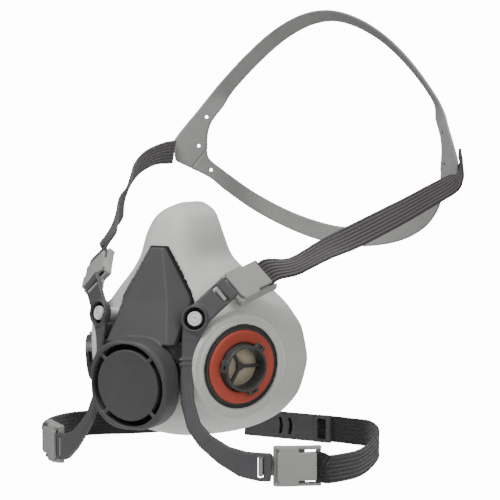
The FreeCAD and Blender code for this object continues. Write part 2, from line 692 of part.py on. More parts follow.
def neck_clip_hook():
    """Left half of the neck clip: short plate and a hook that faces backwards."""
    low = CLIP_Z - HOOK_HEIGHT / 2
    high = CLIP_Z + HOOK_HEIGHT / 2
    plate = clip_frame(22.0, 49.0, -1)
    riser = block((-24.0, -22.0), (CLIP_Y - 6.0, CLIP_Y + 1.0), (low, high))
    arm = block((-24.0, -9.0), (CLIP_Y - 6.0, CLIP_Y - 4.0), (low, high))
    lip = block((-11.0, -9.0), (CLIP_Y - 6.0, CLIP_Y - 0.8), (low, high))
    return joined([plate, riser, arm, lip])


NODES = {
    "face_seal": face_seal,
    "port_connector_right": port_connector,
    "port_connector_left": lambda: mirror_shape(port_connector()),
    "port_gasket_right": port_gasket,
    "port_gasket_left": lambda: mirror_shape(port_gasket()),
    "inhalation_flap_right": inhalation_flap,
    "inhalation_flap_left": lambda: mirror_shape(inhalation_flap()),
    "exhalation_valve_seat": exhalation_valve_seat,
    "exhalation_flap": exhalation_flap,
    "front_cover": front_cover,
    "harness_yoke": harness_yoke,
    "yoke_stud_right": yoke_stud,
    "yoke_stud_left": lambda: mirror_shape(yoke_stud()),
    "upper_buckle_right": lambda: upper_buckle(UPPER_RIGHT_DIRECTION),
    "upper_buckle_left": lambda: mirror_shape(upper_buckle(UPPER_LEFT_DIRECTION)),
    "lower_buckle_right": lower_buckle,
    "lower_buckle_left": lambda: mirror_shape(lower_buckle()),
    "crown_band": crown_band,
    "rear_band": rear_band,
    "upper_strap_right": upper_strap_right,
    "upper_strap_left": upper_strap_left,
    "neck_strap_right": lambda: neck_strap(NECK_RIGHT_PATH),
    "neck_strap_left": lambda: neck_strap(NECK_LEFT_PATH),
    "neck_clip_receiver": neck_clip_receiver,
    "neck_clip_hook": neck_clip_hook,
}


def main():
    """Build every node and write it as a STEP file."""
    os.makedirs("parts", exist_ok=True)
    for name, build in NODES.items():
        shape = build()
        box = shape.BoundBox
        print(f"{name}: {len(shape.Solids)} solid, {shape.Volume:.0f} mm3, valid {shape.isValid()}, "
              f"x {box.XMin:.1f} {box.XMax:.1f}, y {box.YMin:.1f} {box.YMax:.1f}, "
              f"z {box.ZMin:.1f} {box.ZMax:.1f}")
        shape.exportStep(f"parts/{name}.step")


main()
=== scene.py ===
"""Painter's half-face respirator: the detailed visual model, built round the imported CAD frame.

All shapes are worked out in millimetres in the CAD frame (+Y towards the wearer, +Z up) and are
turned into metres when a mesh is made.
"""
import math

import bpy
import numpy as np
from mathutils import Matrix, Vector


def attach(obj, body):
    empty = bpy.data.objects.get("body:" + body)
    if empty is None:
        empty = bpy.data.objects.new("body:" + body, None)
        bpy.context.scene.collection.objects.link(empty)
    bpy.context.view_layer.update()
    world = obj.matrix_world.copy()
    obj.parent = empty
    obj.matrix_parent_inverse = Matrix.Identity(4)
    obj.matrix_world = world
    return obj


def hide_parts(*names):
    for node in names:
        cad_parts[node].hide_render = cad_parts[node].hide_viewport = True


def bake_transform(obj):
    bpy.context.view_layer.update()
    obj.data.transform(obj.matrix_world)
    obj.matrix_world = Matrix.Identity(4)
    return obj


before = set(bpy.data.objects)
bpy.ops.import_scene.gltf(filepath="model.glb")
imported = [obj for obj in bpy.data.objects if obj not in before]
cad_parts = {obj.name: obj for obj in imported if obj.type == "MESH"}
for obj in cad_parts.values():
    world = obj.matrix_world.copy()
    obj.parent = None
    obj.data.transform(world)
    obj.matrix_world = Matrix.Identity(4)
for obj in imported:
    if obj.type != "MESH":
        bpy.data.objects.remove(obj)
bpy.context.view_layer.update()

MM = 0.001
X_AXIS = np.array([1.0, 0.0, 0.0])
Y_AXIS = np.array([0.0, 1.0, 0.0])
Z_AXIS = np.array([0.0, 0.0, 1.0])

# Facepiece: height, half width, y of the widest point, y of the front, squareness of the outline
FACE_SECTIONS = [
    (-61.4, 12.0, -23.0, -34.0, 2.0),
    (-59.8, 26.0, -21.0, -42.0, 2.0),
    (-56.0, 37.5, -17.0, -48.5, 2.2),
    (-50.0, 47.0, -9.0, -53.5, 2.4),
    (-40.0, 53.0, -1.0, -56.0, 2.8),
    (-22.0, 56.0, 2.0, -56.5, 3.0),
    (-4.0, 53.0, 2.0, -56.5, 3.0),
    (8.0, 46.0, 1.0, -55.5, 2.8),
    (17.0, 37.5, -1.0, -53.5, 2.8),
    (25.0, 27.4, -5.0, -52.2, 3.0),
    (33.0, 20.2, -9.0, -50.6, 3.2),
    (46.0, 16.7, -12.0, -46.6, 3.4),
    (54.5, 13.0, -13.0, -42.6, 3.2),
    (59.0, 8.2, -15.0, -36.5, 2.6),
    (61.0, 3.6, -17.0, -29.0, 2.2),
]
# Rim of the face opening: height, y
FACE_RIM = [
    (-75.0, -26.0), (-60.0, -18.0), (-53.0, -9.0), (-45.0, 1.0), (-34.0, 7.0), (-20.0, 9.5),
    (-4.0, 8.0), (14.0, 1.8), (28.0, -8.5), (48.0, -13.5), (61.0, -10.0), (75.0, -4.0),
]
FACE_WALL = 3.8
FACE_LIP = 11.0
FACE_LIP_THICKNESS = 3.2
FACE_GRID = 0.9

# Ports
PORT_CUP_RADIUS = 28.0
PORT_NECK_RADIUS = 19.5
PORT_BORE_RADIUS = 12.3
PORT_RECESS_RADIUS = 23.6
PORT_MOUTH_RADIUS = 21.8
GROOVE_INNER, GROOVE_OUTER = 24.5, 26.1
LUG_TURN = 83.0
# Closed outlines of turned pieces: radius, height
GASKET_PROFILE = [
    (12.7, -0.8), (19.0, -0.8), (19.2, -0.5), (19.1, 0.3), (18.7, 0.65),
    (17.8, 0.7), (16.0, 0.62), (14.2, 0.7), (13.2, 0.62), (12.8, 0.3),
]
INLET_FLAP_PROFILE = [
    (0.02, -3.7), (10.0, -3.7), (10.4, -3.5), (10.4, -3.2), (10.1, -2.95), (7.0, -2.9), (0.02, -2.85),
]
PORT_CENTRE = np.array([44.5, -40.9, -21.6])
PORT_TURN = math.radians(62.5)
PORT_DROP = math.radians(5.0)
GUARD_TURN = math.radians(187.0)
PORT_NORMAL = np.array([
    math.sin(PORT_TURN) * math.cos(PORT_DROP),
    -math.cos(PORT_TURN) * math.cos(PORT_DROP),
    -math.sin(PORT_DROP),
])

# Cover
VALVE_TILT = math.radians(4.0)
VALVE_NORMAL = np.array([0.0, -math.cos(VALVE_TILT), -math.sin(VALVE_TILT)])
COVER_CENTRE = np.array([0.0, -80.0, -30.0])
COVER_HALF = 23.0
COVER_CORNER = 19.0
COVER_DEPTH = 14.6
COVER_WALL = 1.8
DISC_RADIUS = 18.3
SLOT_RADIUS = 21.3
SPOKE_HALF = 1.1
# Shield: height, half width, half width of the flat middle, y of the middle, y of the side
SHIELD_ROWS = [
    (-31.0, 20.6, 24.8, -81.0, -84.0),
    (-9.5, 20.8, 18.4, -71.0, -67.8),
    (12.0, 21.0, 12.8, -61.8, -51.4),
    (38.7, 4.7, 3.6, -52.2, -51.2),
    (60.0, -8.3, -3.8, -44.0, -51.0),
]
SHIELD_BOTTOM = -9.5
SHIELD_TOP = 38.7
SHIELD_THICKNESS = 1.6
SEAT_DISTANCE = 19.5
VALVE_BORE_RADIUS = 16.7
VALVE_ROOM_RADIUS = 19.2
# Heights above the valve seat
OUTLET_FLAP_PROFILE = [
    (0.02, 0.15), (15.6, 0.15), (16.1, 0.3), (16.2, 0.6), (15.9, 0.9), (12.0, 1.15), (3.0, 1.1), (0.02, 1.15),
]
STEM_PROFILE = [(0.02, -4.2), (1.1, -4.2), (1.5, -3.8), (1.5, 0.4), (0.02, 0.4)]
# Painted shade: a black ring in the hole round each stud head, as radius and height about the stud
SHADE_RING_PROFILE = [(3.8, -0.95), (5.65, -0.95), (5.65, -0.5), (3.8, -0.5)]

# Yoke
STUD_CENTRE = np.array([29.2, -61.2, 4.0])
STUD_NORMAL = np.array([0.30, -0.94, 0.14])
TAB_SLOT = np.array([39.3, -52.6, 16.0])
TAB_CROSS = np.array([0.71, 0.16, -0.69])
TAB_HALF = 6.2
LOW_SLOT = np.array([61.9, -51.2, -70.2])
LOW_DIRECTION = np.array([0.79, 0.61, 0.0])
LOW_CROSS = np.array([0.0, 0.0, -1.0])
# Arm stations: centre, width direction, half width
ARM_STATIONS = [
    ((29.2, -61.0, 4.0), (0.90, 0.42, 0.0), 6.2),
    ((27.6, -62.9, -6.0), (0.86, 0.50, 0.0), 4.4),
    ((26.8, -64.4, -16.0), (0.82, 0.57, 0.0), 3.3),
    ((26.6, -65.2, -27.0), (0.79, 0.61, 0.0), 3.2),
    ((27.8, -66.2, -38.0), (0.78, 0.59, 0.2), 3.5),
    ((32.0, -66.6, -50.0), (0.70, 0.50, 0.5), 3.7),
    ((37.8, -65.0, -57.2), (0.52, 0.36, 0.78), 4.2),
    ((46.4, -60.6, -64.4), (0.25, 0.16, 0.95), 5.2),
    ((55.0, -55.8, -68.8), (0.0, 0.0, 1.0), 6.7),
    ((61.9, -51.2, -70.2), (0.0, 0.0, 1.0), 7.3),
    ((65.6, -48.4, -70.4), (0.0, 0.0, 1.0), 7.3),
]
BRIDGE_STATIONS = [
    ((28.0, -62.6, -5.4), (0.0, 0.0, 1.0), 3.5),
    ((22.0, -58.2, -5.4), (0.0, 0.0, 1.0), 3.5),
    ((17.0, -56.8, -5.4), (0.0, 0.0, 1.0), 3.5),
    ((-2.0, -56.8, -5.4), (0.0, 0.0, 1.0), 3.5),
]

# Buckles
BUCKLE_START = 7.2
BUCKLE_LENGTH = 31.0
BUCKLE_HALF = 10.2
UPPER_RIGHT_DIRECTION = np.array([0.354, 0.878, 0.322])
UPPER_LEFT_DIRECTION = np.array([0.32, 0.78, 0.53])
UPPER_BUCKLE_CROSS = np.array([0.74, -0.05, -0.67])
UPPER_BAR_HALF = 3.9
LOWER_BAR_HALF = 4.9
# Each buckle's slot centre, direction and width direction on the right, and its side
BUCKLES = {
    "upper_buckle_right": (TAB_SLOT, UPPER_RIGHT_DIRECTION, UPPER_BUCKLE_CROSS, 1),
    "upper_buckle_left": (TAB_SLOT, UPPER_LEFT_DIRECTION, UPPER_BUCKLE_CROSS, -1),
    "lower_buckle_right": (LOW_SLOT, LOW_DIRECTION, LOW_CROSS, 1),
    "lower_buckle_left": (LOW_SLOT, LOW_DIRECTION, LOW_CROSS, -1),
}

# Cradle
CROWN_ROLL = math.radians(3.0)
ROLL_PIVOT = np.array([0.0, 0.0, 100.0])
JUNCTION_CORNER = np.array([94.0, 111.0, 78.3])
JUNCTION_DIRECTION = np.array([-0.808, 0.589, 0.0])
# Junction outline pairs, outer and inner edge: distance inwards along the plate, and height
JUNCTION_PAIRS = [
    ((2.2, -5.9), (10.4, -9.3)),
    ((0.7, -4.6), (12.8, -6.4)),
    ((0.1, -1.5), (16.6, -1.6)),
    ((-0.3, 2.6), (19.7, 2.5)),
    ((-0.4, 7.2), (19.7, 7.6)),
    ((4.0, 14.0), (19.9, 12.2)),
    ((8.7, 20.2), (21.2, 17.6)),
    ((13.4, 26.3), (24.0, 22.6)),
    ((18.8, 33.7), (28.4, 28.6)),
]
CROWN_CENTRES = [
    (68.8, 128.0, 119.6), (52.7, 129.4, 136.8), (35.3, 129.0, 151.0),
    (17.3, 127.6, 160.3), (0.0, 126.8, 163.6),
]
BAND_HALF = 5.4
BAND_THICKNESS = 1.5
BAND_CONE = math.radians(35.0)
REAR_HALF = 5.7
HOLE_RADIUS = 0.95
HOLES = ((18.5, 21.9), (14.5, 4.4))
REAR_CENTRES = [
    (-78.4, 124.6, 73.4), (-72.8, 133.0, 65.8), (-63.5, 152.5, 52.6), (-46.0, 168.0, 40.4),
    (-25.8, 178.5, 32.8), (-6.0, 182.0, 31.0), (11.8, 180.5, 32.8), (27.2, 175.5, 36.6),
    (40.7, 168.5, 42.0), (52.3, 159.5, 48.4), (62.3, 149.0, 56.4), (69.8, 138.0, 63.4),
    (76.0, 126.0, 68.2),
]

# Straps: centre and width direction at each station
STRAP_HALF = 7.25
STRAP_THICKNESS = 1.5
UPPER_RIGHT_STRAP = [
    ((55.5, -10.9, 28.0), (0.65, -0.56, -0.51)),
    ((57.9, -0.8, 30.2), (0.65, -0.63, -0.42)),
    ((61.2, 17.5, 35.6), (0.64, -0.56, -0.53)),
    ((64.5, 36.8, 40.3), (0.58, -0.44, -0.69)),
    ((69.6, 58.8, 46.8), (0.58, -0.39, -0.71)),
    ((76.2, 81.5, 54.5), (0.65, -0.36, -0.67)),
    ((84.0, 96.2, 61.7), (0.69, -0.37, -0.62)),
    ((90.7, 106.8, 67.7), (0.69, -0.46, -0.57)),
    ((94.2, 110.0, 73.0), (0.62, -0.72, -0.30)),
    ((95.0, 111.0, 80.0), (0.48, -0.87, -0.06)),
    ((93.6, 112.4, 85.0), (0.48, -0.87, 0.05)),
]
UPPER_LEFT_STRAP = [
    ((-54.0, -17.0, 38.2), (-0.65, 0.05, -0.75)),
    ((-58.5, -11.0, 40.8), (-0.75, -0.05, -0.65)),
    ((-67.0, 6.0, 46.4), (-0.5, 0.2, -0.8)),
    ((-73.0, 22.0, 54.0), (-0.2, 0.4, -0.9)),
    ((-78.4, 35.0, 61.6), (-0.5, 0.2, -0.8)),
    ((-87.5, 55.0, 71.5), (-0.4, 0.2, -0.9)),
    ((-91.5, 72.0, 78.4), (-0.4, 0.2, -0.9)),
    ((-93.5, 92.0, 82.6), (-0.4, 0.1, -0.9)),
    ((-94.4, 109.0, 83.4), (-0.2, 0.0, -1.0)),
]
NECK_RIGHT_STRAP = [(centre, (0.0, 0.0, -1.0)) for centre in (
    (88.6, -30.4, -72.0), (90.6, -16.0, -72.8), (90.9, 0.0, -73.0), (88.6, 18.0, -71.0),
    (84.0, 34.0, -67.6), (73.0, 46.0, -65.6), (60.0, 49.4, -65.6), (49.4, 51.0, -65.6),
    (42.6, 51.2, -65.6), (30.0, 51.4, -65.6), (13.0, 51.4, -65.6),
)]
NECK_LEFT_STRAP = [(centre, (0.0, 0.0, -1.0)) for centre in (
    (-88.8, -30.6, -70.8), (-97.0, -19.0, -70.8), (-104.0, -2.0, -70.8), (-106.0, 18.0, -71.0),
    (-99.0, 36.0, -71.4), (-84.0, 46.0, -71.0), (-66.0, 49.4, -69.0), (-52.0, 50.8, -66.4),
    (-44.6, 50.4, -65.6),
)]

# Neck clip
CLIP_Y = 48.0
CLIP_Z = -65.6

# Lights: name, place, target, size, power
LIGHTS = (
    ("key", (-0.30, -0.95, 1.65), (0.0, 0.0, 0.0), 0.8, 36.0),
    ("fill", (1.4, -0.9, 0.6), (0.0, 0.0, 0.0), 1.0, 11.0),
    ("rim", (0.2, 1.3, 1.2), (0.0, 0.1, 0.05), 0.8, 8.0),
)
CAMERA_AZIMUTH = math.radians(31.0)
CAMERA_ELEVATION = math.radians(4.0)
CAMERA_DISTANCE = 1.1
CAMERA_TARGET = (0.03581, -0.01829, 0.03657)
CAMERA_LENS = 152.3


# ---------------------------------------------------------------- small geometry helpers

def unit(vector):
    """Return the vector at length one."""
    vector = np.asarray(vector, float)
    return vector / np.linalg.norm(vector)


def square_to(vector, axis):
    """Return the unit part of vector that is square to axis."""
    axis = unit(axis)
    vector = np.asarray(vector, float)
    return unit(vector - axis * vector.dot(axis))


def local_axes(x_axis, z_axis):
    """Return the local x, y and z directions from a rough x and an exact z."""
    z_unit = unit(z_axis)
    x_unit = square_to(x_axis, z_unit)
    return x_unit, np.cross(z_unit, x_unit), z_unit


def to_world(points, origin, axes):
    """Move local points to the frame."""
    return origin + points @ np.array(axes)


def mirrored(points):
    """Return points mirrored from right to left."""
    return np.asarray(points, float) * np.array([-1.0, 1.0, 1.0])


def spline(points, per_span):
    """Return points along a smooth curve through the given rows of numbers."""
    rows = np.asarray(points, float)
    padded = np.vstack([2 * rows[0] - rows[1], rows, 2 * rows[-1] - rows[-2]])
    steps = np.linspace(0.0, 1.0, per_span, endpoint=False)[:, None]
    out = []
    for i in range(1, len(padded) - 2):
        p0, p1, p2, p3 = padded[i - 1:i + 3]
        out.append(0.5 * (2 * p1 + (p2 - p0) * steps + (2 * p0 - 5 * p1 + 4 * p2 - p3) * steps ** 2
                          + (3 * p1 - p0 - 3 * p2 + p3) * steps ** 3))
    return np.vstack(out + [rows[-1:]])


def smooth_table(rows, column, at, spread):
    """Return a table's column at the given heights, with its corners rounded off."""
    heights = np.array([row[0] for row in rows])
    values = np.array([row[column] for row in rows])
    step = 0.25
    line = np.arange(heights[0] - 12, heights[-1] + 12, step)
    plain = np.interp(line, heights, values)
    reach = np.arange(-3 * spread, 3 * spread + step, step)
    kernel = np.exp(-0.5 * (reach / spread) ** 2)
    pad = len(reach) // 2
    soft = np.convolve(np.pad(plain, pad, mode="edge"), kernel / kernel.sum(), mode="valid")
    return np.interp(at, line, soft[:len(line)])


# ---------------------------------------------------------------- solids from distance fields

def grid(low, high, step):
    """Return the x, y and z of every point of a box of grid points."""
    lines = [np.arange(a, b + step, step, dtype=np.float32) for a, b in zip(low, high)]
    return np.meshgrid(*lines, indexing="ij")


def merge(a, b, k):
    """Union of two fields with a fillet of about k."""
    h = np.clip(0.5 + 0.5 * (b - a) / k, 0.0, 1.0)
    return b * (1 - h) + a * h - k * h * (1 - h)


def both(a, b, k):
    """Intersection of two fields with rounded edges."""
    return -merge(-a, -b, k)


def cut(a, b, k):
    """Field a with b taken away, with rounded edges."""
    return -merge(-a, b, k)


def block_field(p, centre, half, rounding):
    """Rounded box."""
    q = [np.abs(c - m) - (h - rounding) for c, m, h in zip(p, centre, half)]
    outside = np.sqrt(sum(np.maximum(c, 0.0) ** 2 for c in q))
    inside = np.minimum(np.maximum(np.maximum(q[0], q[1]), q[2]), 0.0)
    return outside + inside - rounding


def rounded(r, h, rounding):
    """Join two fields at a rounded edge; both are already drawn in by the rounding."""
    outside = np.sqrt(np.maximum(r, 0) ** 2 + np.maximum(h, 0) ** 2)
    return outside + np.minimum(np.maximum(r, h), 0) - rounding


def layer(p, low, high, rounding):
    """Layer between two local heights, drawn in by the rounding."""
    return np.abs(p[2] - 0.5 * (low + high)) - (0.5 * (high - low) - rounding)


def disc_field(p, radius, low, high, rounding):
    """Rounded cylinder about local z."""
    r = np.sqrt(p[0] ** 2 + p[1] ** 2) - (radius - rounding)
    return rounded(r, layer(p, low, high, rounding), rounding)


def ring_field(p, inner, outer, low, high, rounding):
    """Rounded ring about local z."""
    r = np.abs(np.sqrt(p[0] ** 2 + p[1] ** 2) - 0.5 * (inner + outer)) - (0.5 * (outer - inner) - rounding)
    return rounded(r, layer(p, low, high, rounding), rounding)


def rounded_square_field(p, half, corner, low, high, rounding):
    """Prism with a rounded square outline."""
    outline = rounded(np.abs(p[0]) - (half - corner), np.abs(p[1]) - (half - corner), corner)
    return rounded(outline + rounding, layer(p, low, high, rounding), rounding)


def local_grid(p, origin, axes):
    """Return grid points in local axes about an origin."""
    d = [p[k] - origin[k] for k in range(3)]
    return [sum(d[k] * axis[k] for k in range(3)) for axis in axes]


def turned(p, angle):
    """Return grid points in axes turned about local z."""
    c, s = math.cos(angle), math.sin(angle)
    return [p[0] * c + p[1] * s, -p[0] * s + p[1] * c, p[2]]


def smooth_columns(rows, line, spread):
    """Return columns 1 to 4 of a table as fields that vary with height only."""
    columns = [smooth_table(rows, column, line, spread) for column in (1, 2, 3, 4)]
    return [np.asarray(values, np.float32)[None, None, :] for values in columns]


def strip_field(p, stations, half_thickness, rounding):
    """Flat strip through stations of (centre, width direction, half width)."""
    result = None
    centres = np.array([s[0] for s in stations], float)
    for i in range(len(stations) - 1):
        start, end = centres[i], centres[i + 1]
        along = end - start
        length = np.linalg.norm(along)
        along = along / length
        tangents = []
        for j in (i, i + 1):
            before, after = centres[max(j - 1, 0)], centres[min(j + 1, len(centres) - 1)]
            tangents.append(unit(after - before))
        across = [square_to(stations[i + j][1], tangents[j]) for j in (0, 1)]
        up = [np.cross(tangents[j], across[j]) for j in (0, 1)]
        d = [p[k] - start[k] for k in range(3)]
        raw = d[0] * along[0] + d[1] * along[1] + d[2] * along[2]
        t = np.clip(raw / length, 0.0, 1.0)
        off = [d[k] - along[k] * t * length for k in range(3)]
        a = sum(off[k] * (across[0][k] * (1 - t) + across[1][k] * t) for k in range(3))
        u = sum(off[k] * (up[0][k] * (1 - t) + up[1][k] * t) for k in range(3))
        width = stations[i][2] * (1 - t) + stations[i + 1][2] * t
        ends = np.maximum(np.maximum(-raw, raw - length), 0.0)
        qa = np.abs(a) - (width - rounding)
        qu = np.abs(u) - (half_thickness - rounding)
        outside = np.sqrt(np.maximum(qa, 0) ** 2 + np.maximum(qu, 0) ** 2 + ends ** 2)
        field = outside + np.minimum(np.maximum(qa, qu), 0) - rounding
        result = field if result is None else merge(result, field, 0.4)
    return result


def surface_net(values, low, step):
    """Return the vertices and quads of a field's zero surface."""
    inside = values < 0
    nx, ny, nz = (n - 1 for n in values.shape)
    count = np.zeros((nx, ny, nz), np.int8)
    for i in (0, 1):
        for j in (0, 1):
            for k in (0, 1):
                count += inside[i:nx + i, j:ny + j, k:nz + k]
    active = (count > 0) & (count < 8)
    index = np.full(active.shape, -1, np.int64)
    cells = np.argwhere(active)
    index[active] = np.arange(len(cells))
    total = np.zeros((len(cells), 3))
    hits = np.zeros(len(cells))
    corners = [(i, j, k) for i in (0, 1) for j in (0, 1) for k in (0, 1)]
    for a in corners:
        for axis in range(3):
            if a[axis]:
                continue
            b = list(a)
            b[axis] = 1
            va = values[cells[:, 0] + a[0], cells[:, 1] + a[1], cells[:, 2] + a[2]].astype(float)
            vb = values[cells[:, 0] + b[0], cells[:, 1] + b[1], cells[:, 2] + b[2]].astype(float)
            crossing = (va < 0) != (vb < 0)
            share = np.where(crossing, va / np.where(crossing, va - vb, 1.0), 0.0)
            place = np.array(a, float) + share[:, None] * (np.array(b, float) - np.array(a, float))
            total[crossing] += place[crossing]
            hits[crossing] += 1
    vertices = np.asarray(low, float) + (cells + total / hits[:, None]) * step
    quads = []
    for axis in range(3):
        first, second = (axis + 1) % 3, (axis + 2) % 3
        near = [slice(1, -1)] * 3
        far = [slice(1, -1)] * 3
        near[axis] = slice(0, -1)
        far[axis] = slice(1, None)
        a, b = inside[tuple(near)], inside[tuple(far)]
        for flips, mask in ((False, a & ~b), (True, ~a & b)):
            spots = np.argwhere(mask)
            spots[:, first] += 1
            spots[:, second] += 1
            ring = []
            for df, ds in ((-1, -1), (0, -1), (0, 0), (-1, 0)):
                cell = spots.copy()
                cell[:, first] += df
                cell[:, second] += ds
                ring.append(index[cell[:, 0], cell[:, 1], cell[:, 2]])
            faces = np.stack(ring, axis=1)
            quads.append(faces[:, ::-1] if flips else faces)
    return vertices, np.vstack(quads)


def solid(field, low, high, step):
    """Return the surface of a field given as a function of grid points."""
    values = field(grid(low, high, step))
    return surface_net(values, low, step)


# ---------------------------------------------------------------- meshes

def add_mesh(name, vertices, faces, material, body, nodes=(), slot=None, uvs=None):
    """Make a smooth shaded mesh from millimetre vertices, ride it on a body and name what it replaces.

    With body as None the mesh is left free, for a piece that bends between two bodies.
    """
    mesh = bpy.data.meshes.new(name)
    mesh.from_pydata((np.asarray(vertices) * MM).tolist(), [], np.asarray(faces).tolist())
    mesh.validate()
    mesh.polygons.foreach_set("use_smooth", [True] * len(mesh.polygons))
    if uvs is not None:
        layer = mesh.uv_layers.new(name="UVMap")
        for loop in mesh.loops:
            layer.data[loop.index].uv = uvs[loop.vertex_index]
    mesh.update()
    obj = bpy.data.objects.new(name, mesh)
    bpy.context.scene.collection.objects.link(obj)
    mesh.materials.append(material)
    if body:
        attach(obj, body)
    if nodes:
        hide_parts(*nodes)
    return obj


def flipped(faces):
    """Return the faces with their direction reversed, for a mirrored copy."""
    return np.asarray(faces)[:, ::-1]


def add_pair(name, points, faces, finish, body, node, slot):
    """Add a right piece and its mirror image; {} in body and node stands for the side."""
    for side, place, quads in (("right", points, faces), ("left", mirrored(points), flipped(faces))):
        nodes = [node.format(side)] if node else ()
        add_mesh(f"{name}_{side}", place, quads, finish, body.format(side), nodes, slot)


def joined_parts(parts):
    """Return one list of vertices and faces from several."""
    vertices, faces, start = [], [], 0
    for part_vertices, part_faces in parts:
        vertices.append(part_vertices)
        faces.append(np.asarray(part_faces) + start)
        start += len(part_vertices)
    return np.vstack(vertices), np.vstack(faces)


def loft(loops):
    """Return vertices and quads of a tube through closed loops, with capped ends."""
    loops = np.asarray(loops, float)
    count, size = loops.shape[:2]
    faces = []
    for i in range(count - 1):
        for j in range(size):
            k = (j + 1) % size
            faces.append((i * size + j, i * size + k, (i + 1) * size + k, (i + 1) * size + j))
    half = size // 2
    for i, turn in ((0, 1), (count - 1, -1)):
        base = i * size
        for j in range(half - 1):
            quad = (base + j, base + size - 1 - j, base + size - 2 - j, base + j + 1)
            faces.append(quad[::turn])
    return loops.reshape(-1, 3), np.array(faces)


def strip_profile(half, thickness, ribs=0, rib_depth=0.0, columns=12):
    """Return the closed outline of a flat strip as (across, up) pairs, ribbed if asked."""
    across = np.linspace(-1.0, 1.0, columns + 1)
    past = (np.abs(across) * half - (half - thickness / 2)) / (thickness / 2)
    edge = np.sqrt(np.clip(1 - np.clip(past, 0, 1) ** 2, 0.02, 1))
    wave = rib_depth * np.cos(across * ribs * math.pi) if ribs else 0 * across
    top = (thickness / 2 + wave) * edge
    upper = np.stack([across * half, top], axis=1)
    lower = np.stack([across[::-1] * half, -top[::-1]], axis=1)
    return np.vstack([upper, lower])


def sweep(stations, profile, per_span=10):
    """Return vertices, faces and (length, across) of a strip swept through (centre, width direction)."""
    rows = np.array([list(c) + list(w) for c, w in stations], float)
    path = spline(rows, per_span)
    centres, wides = path[:, :3], path[:, 3:]
    tangents = np.gradient(centres, axis=0)
    lengths = np.concatenate([[0.0], np.cumsum(np.linalg.norm(np.diff(centres, axis=0), axis=1))])
    loops, marks = [], []
    for centre, wide, tangent, length in zip(centres, wides, tangents, lengths):
        across = square_to(wide, tangent)
        up = np.cross(unit(tangent), across)
        loops.append(centre + profile[:, :1] * across + profile[:, 1:] * up)
        marks += [(length * 0.05, a * 0.05) for a in profile[:, 0]]
    vertices, faces = loft(loops)
    return vertices, faces, marks


def edge_ribbon(left, right, thickness, columns=10):
    """Return a thin plate between two edge curves given as matching rows of points."""
    left, right = np.asarray(left, float), np.asarray(right, float)
    middle = 0.5 * (left + right)
    tangents = np.gradient(middle, axis=0)
    shares = np.linspace(0.0, 1.0, columns + 1)
    loops = []
    for a, b, tangent in zip(left, right, tangents):
        across = b - a
        width = np.linalg.norm(across)
        up = unit(np.cross(unit(tangent), across / width))
        reach = np.minimum(shares, 1 - shares) * width
        edge = np.sqrt(np.clip(1 - np.clip(1 - reach / (thickness / 2), 0, 1) ** 2, 0.05, 1))
        line = a + shares[:, None] * across
        upper = line + up * (thickness / 2 * edge)[:, None]
        lower = (line - up * (thickness / 2 * edge)[:, None])[::-1]
        loops.append(np.vstack([upper, lower]))
    return loft(loops)


def lathe(profile, count=96):
    """Return a body of revolution about local z from a closed outline of (radius, height)."""
    profile = np.asarray(profile, float)[::-1]
    angles = np.linspace(0, 2 * math.pi, count, endpoint=False)
    size = len(profile)
    vertices = np.array([(r * math.cos(t), r * math.sin(t), z) for t in angles for r, z in profile])
    faces = []
    for i in range(count):
        for j in range(size):
            k, n = (j + 1) % size, (i + 1) % count
            faces.append((i * size + j, n * size + j, n * size + k, i * size + k))
    return vertices, np.array(faces)


# ---------------------------------------------------------------- materials

def linear(red, green, blue):
    """Return a linear colour from display values of 0 to 255."""
    def channel(value):
        value /= 255.0
        return value / 12.92 if value <= 0.04045 else ((value + 0.055) / 1.055) ** 2.4
    return (channel(red), channel(green), channel(blue), 1.0)


def new_material(name, roughness, specular=0.5):
    """Return a material's tree, its shader and an object-space texture position."""
    material = bpy.data.materials.new(name)
    material.use_nodes = True
    nodes, links = material.node_tree.nodes, material.node_tree.links
    shader = nodes["Principled BSDF"]
    shader.inputs["Roughness"].default_value = roughness
    shader.inputs["Specular IOR Level"].default_value = specular
    place = nodes.new("ShaderNodeTexCoord").outputs["Object"]
    return material, nodes, links, shader, place


def noise(nodes, links, place, scale, detail=4.0, roughness=0.55):
    """Return a noise texture's factor output."""
    node = nodes.new("ShaderNodeTexNoise")
    node.inputs["Scale"].default_value = scale
    node.inputs["Detail"].default_value = detail
    node.inputs["Roughness"].default_value = roughness
    links.new(place, node.inputs["Vector"])
    return node.outputs["Fac"]


def ramp(nodes, links, source, low, high, start=0.3, end=0.7):
    """Return a colour that goes from low to high as the source rises."""
    node = nodes.new("ShaderNodeValToRGB")
    node.color_ramp.elements[0].position = start
    node.color_ramp.elements[0].color = low
    node.color_ramp.elements[1].position = end
    node.color_ramp.elements[1].color = high
    links.new(source, node.inputs["Fac"])
    return node.outputs["Color"]


def level(nodes, links, source, low, high):
    """Return the source stretched from 0.3..0.7 to low..high."""
    node = nodes.new("ShaderNodeMapRange")
    node.inputs["From Min"].default_value = 0.3
    node.inputs["From Max"].default_value = 0.7
    node.inputs["To Min"].default_value = low
    node.inputs["To Max"].default_value = high
    links.new(source, node.inputs["Value"])
    return node.outputs["Result"]


def bump(nodes, links, source, distance, strength, under=None):
    """Return a bumped normal, on top of another one if given."""
    node = nodes.new("ShaderNodeBump")
    node.inputs["Distance"].default_value = distance
    node.inputs["Strength"].default_value = strength
    links.new(source, node.inputs["Height"])
    if under is not None:
        links.new(under, node.inputs["Normal"])
    return node.outputs["Normal"]


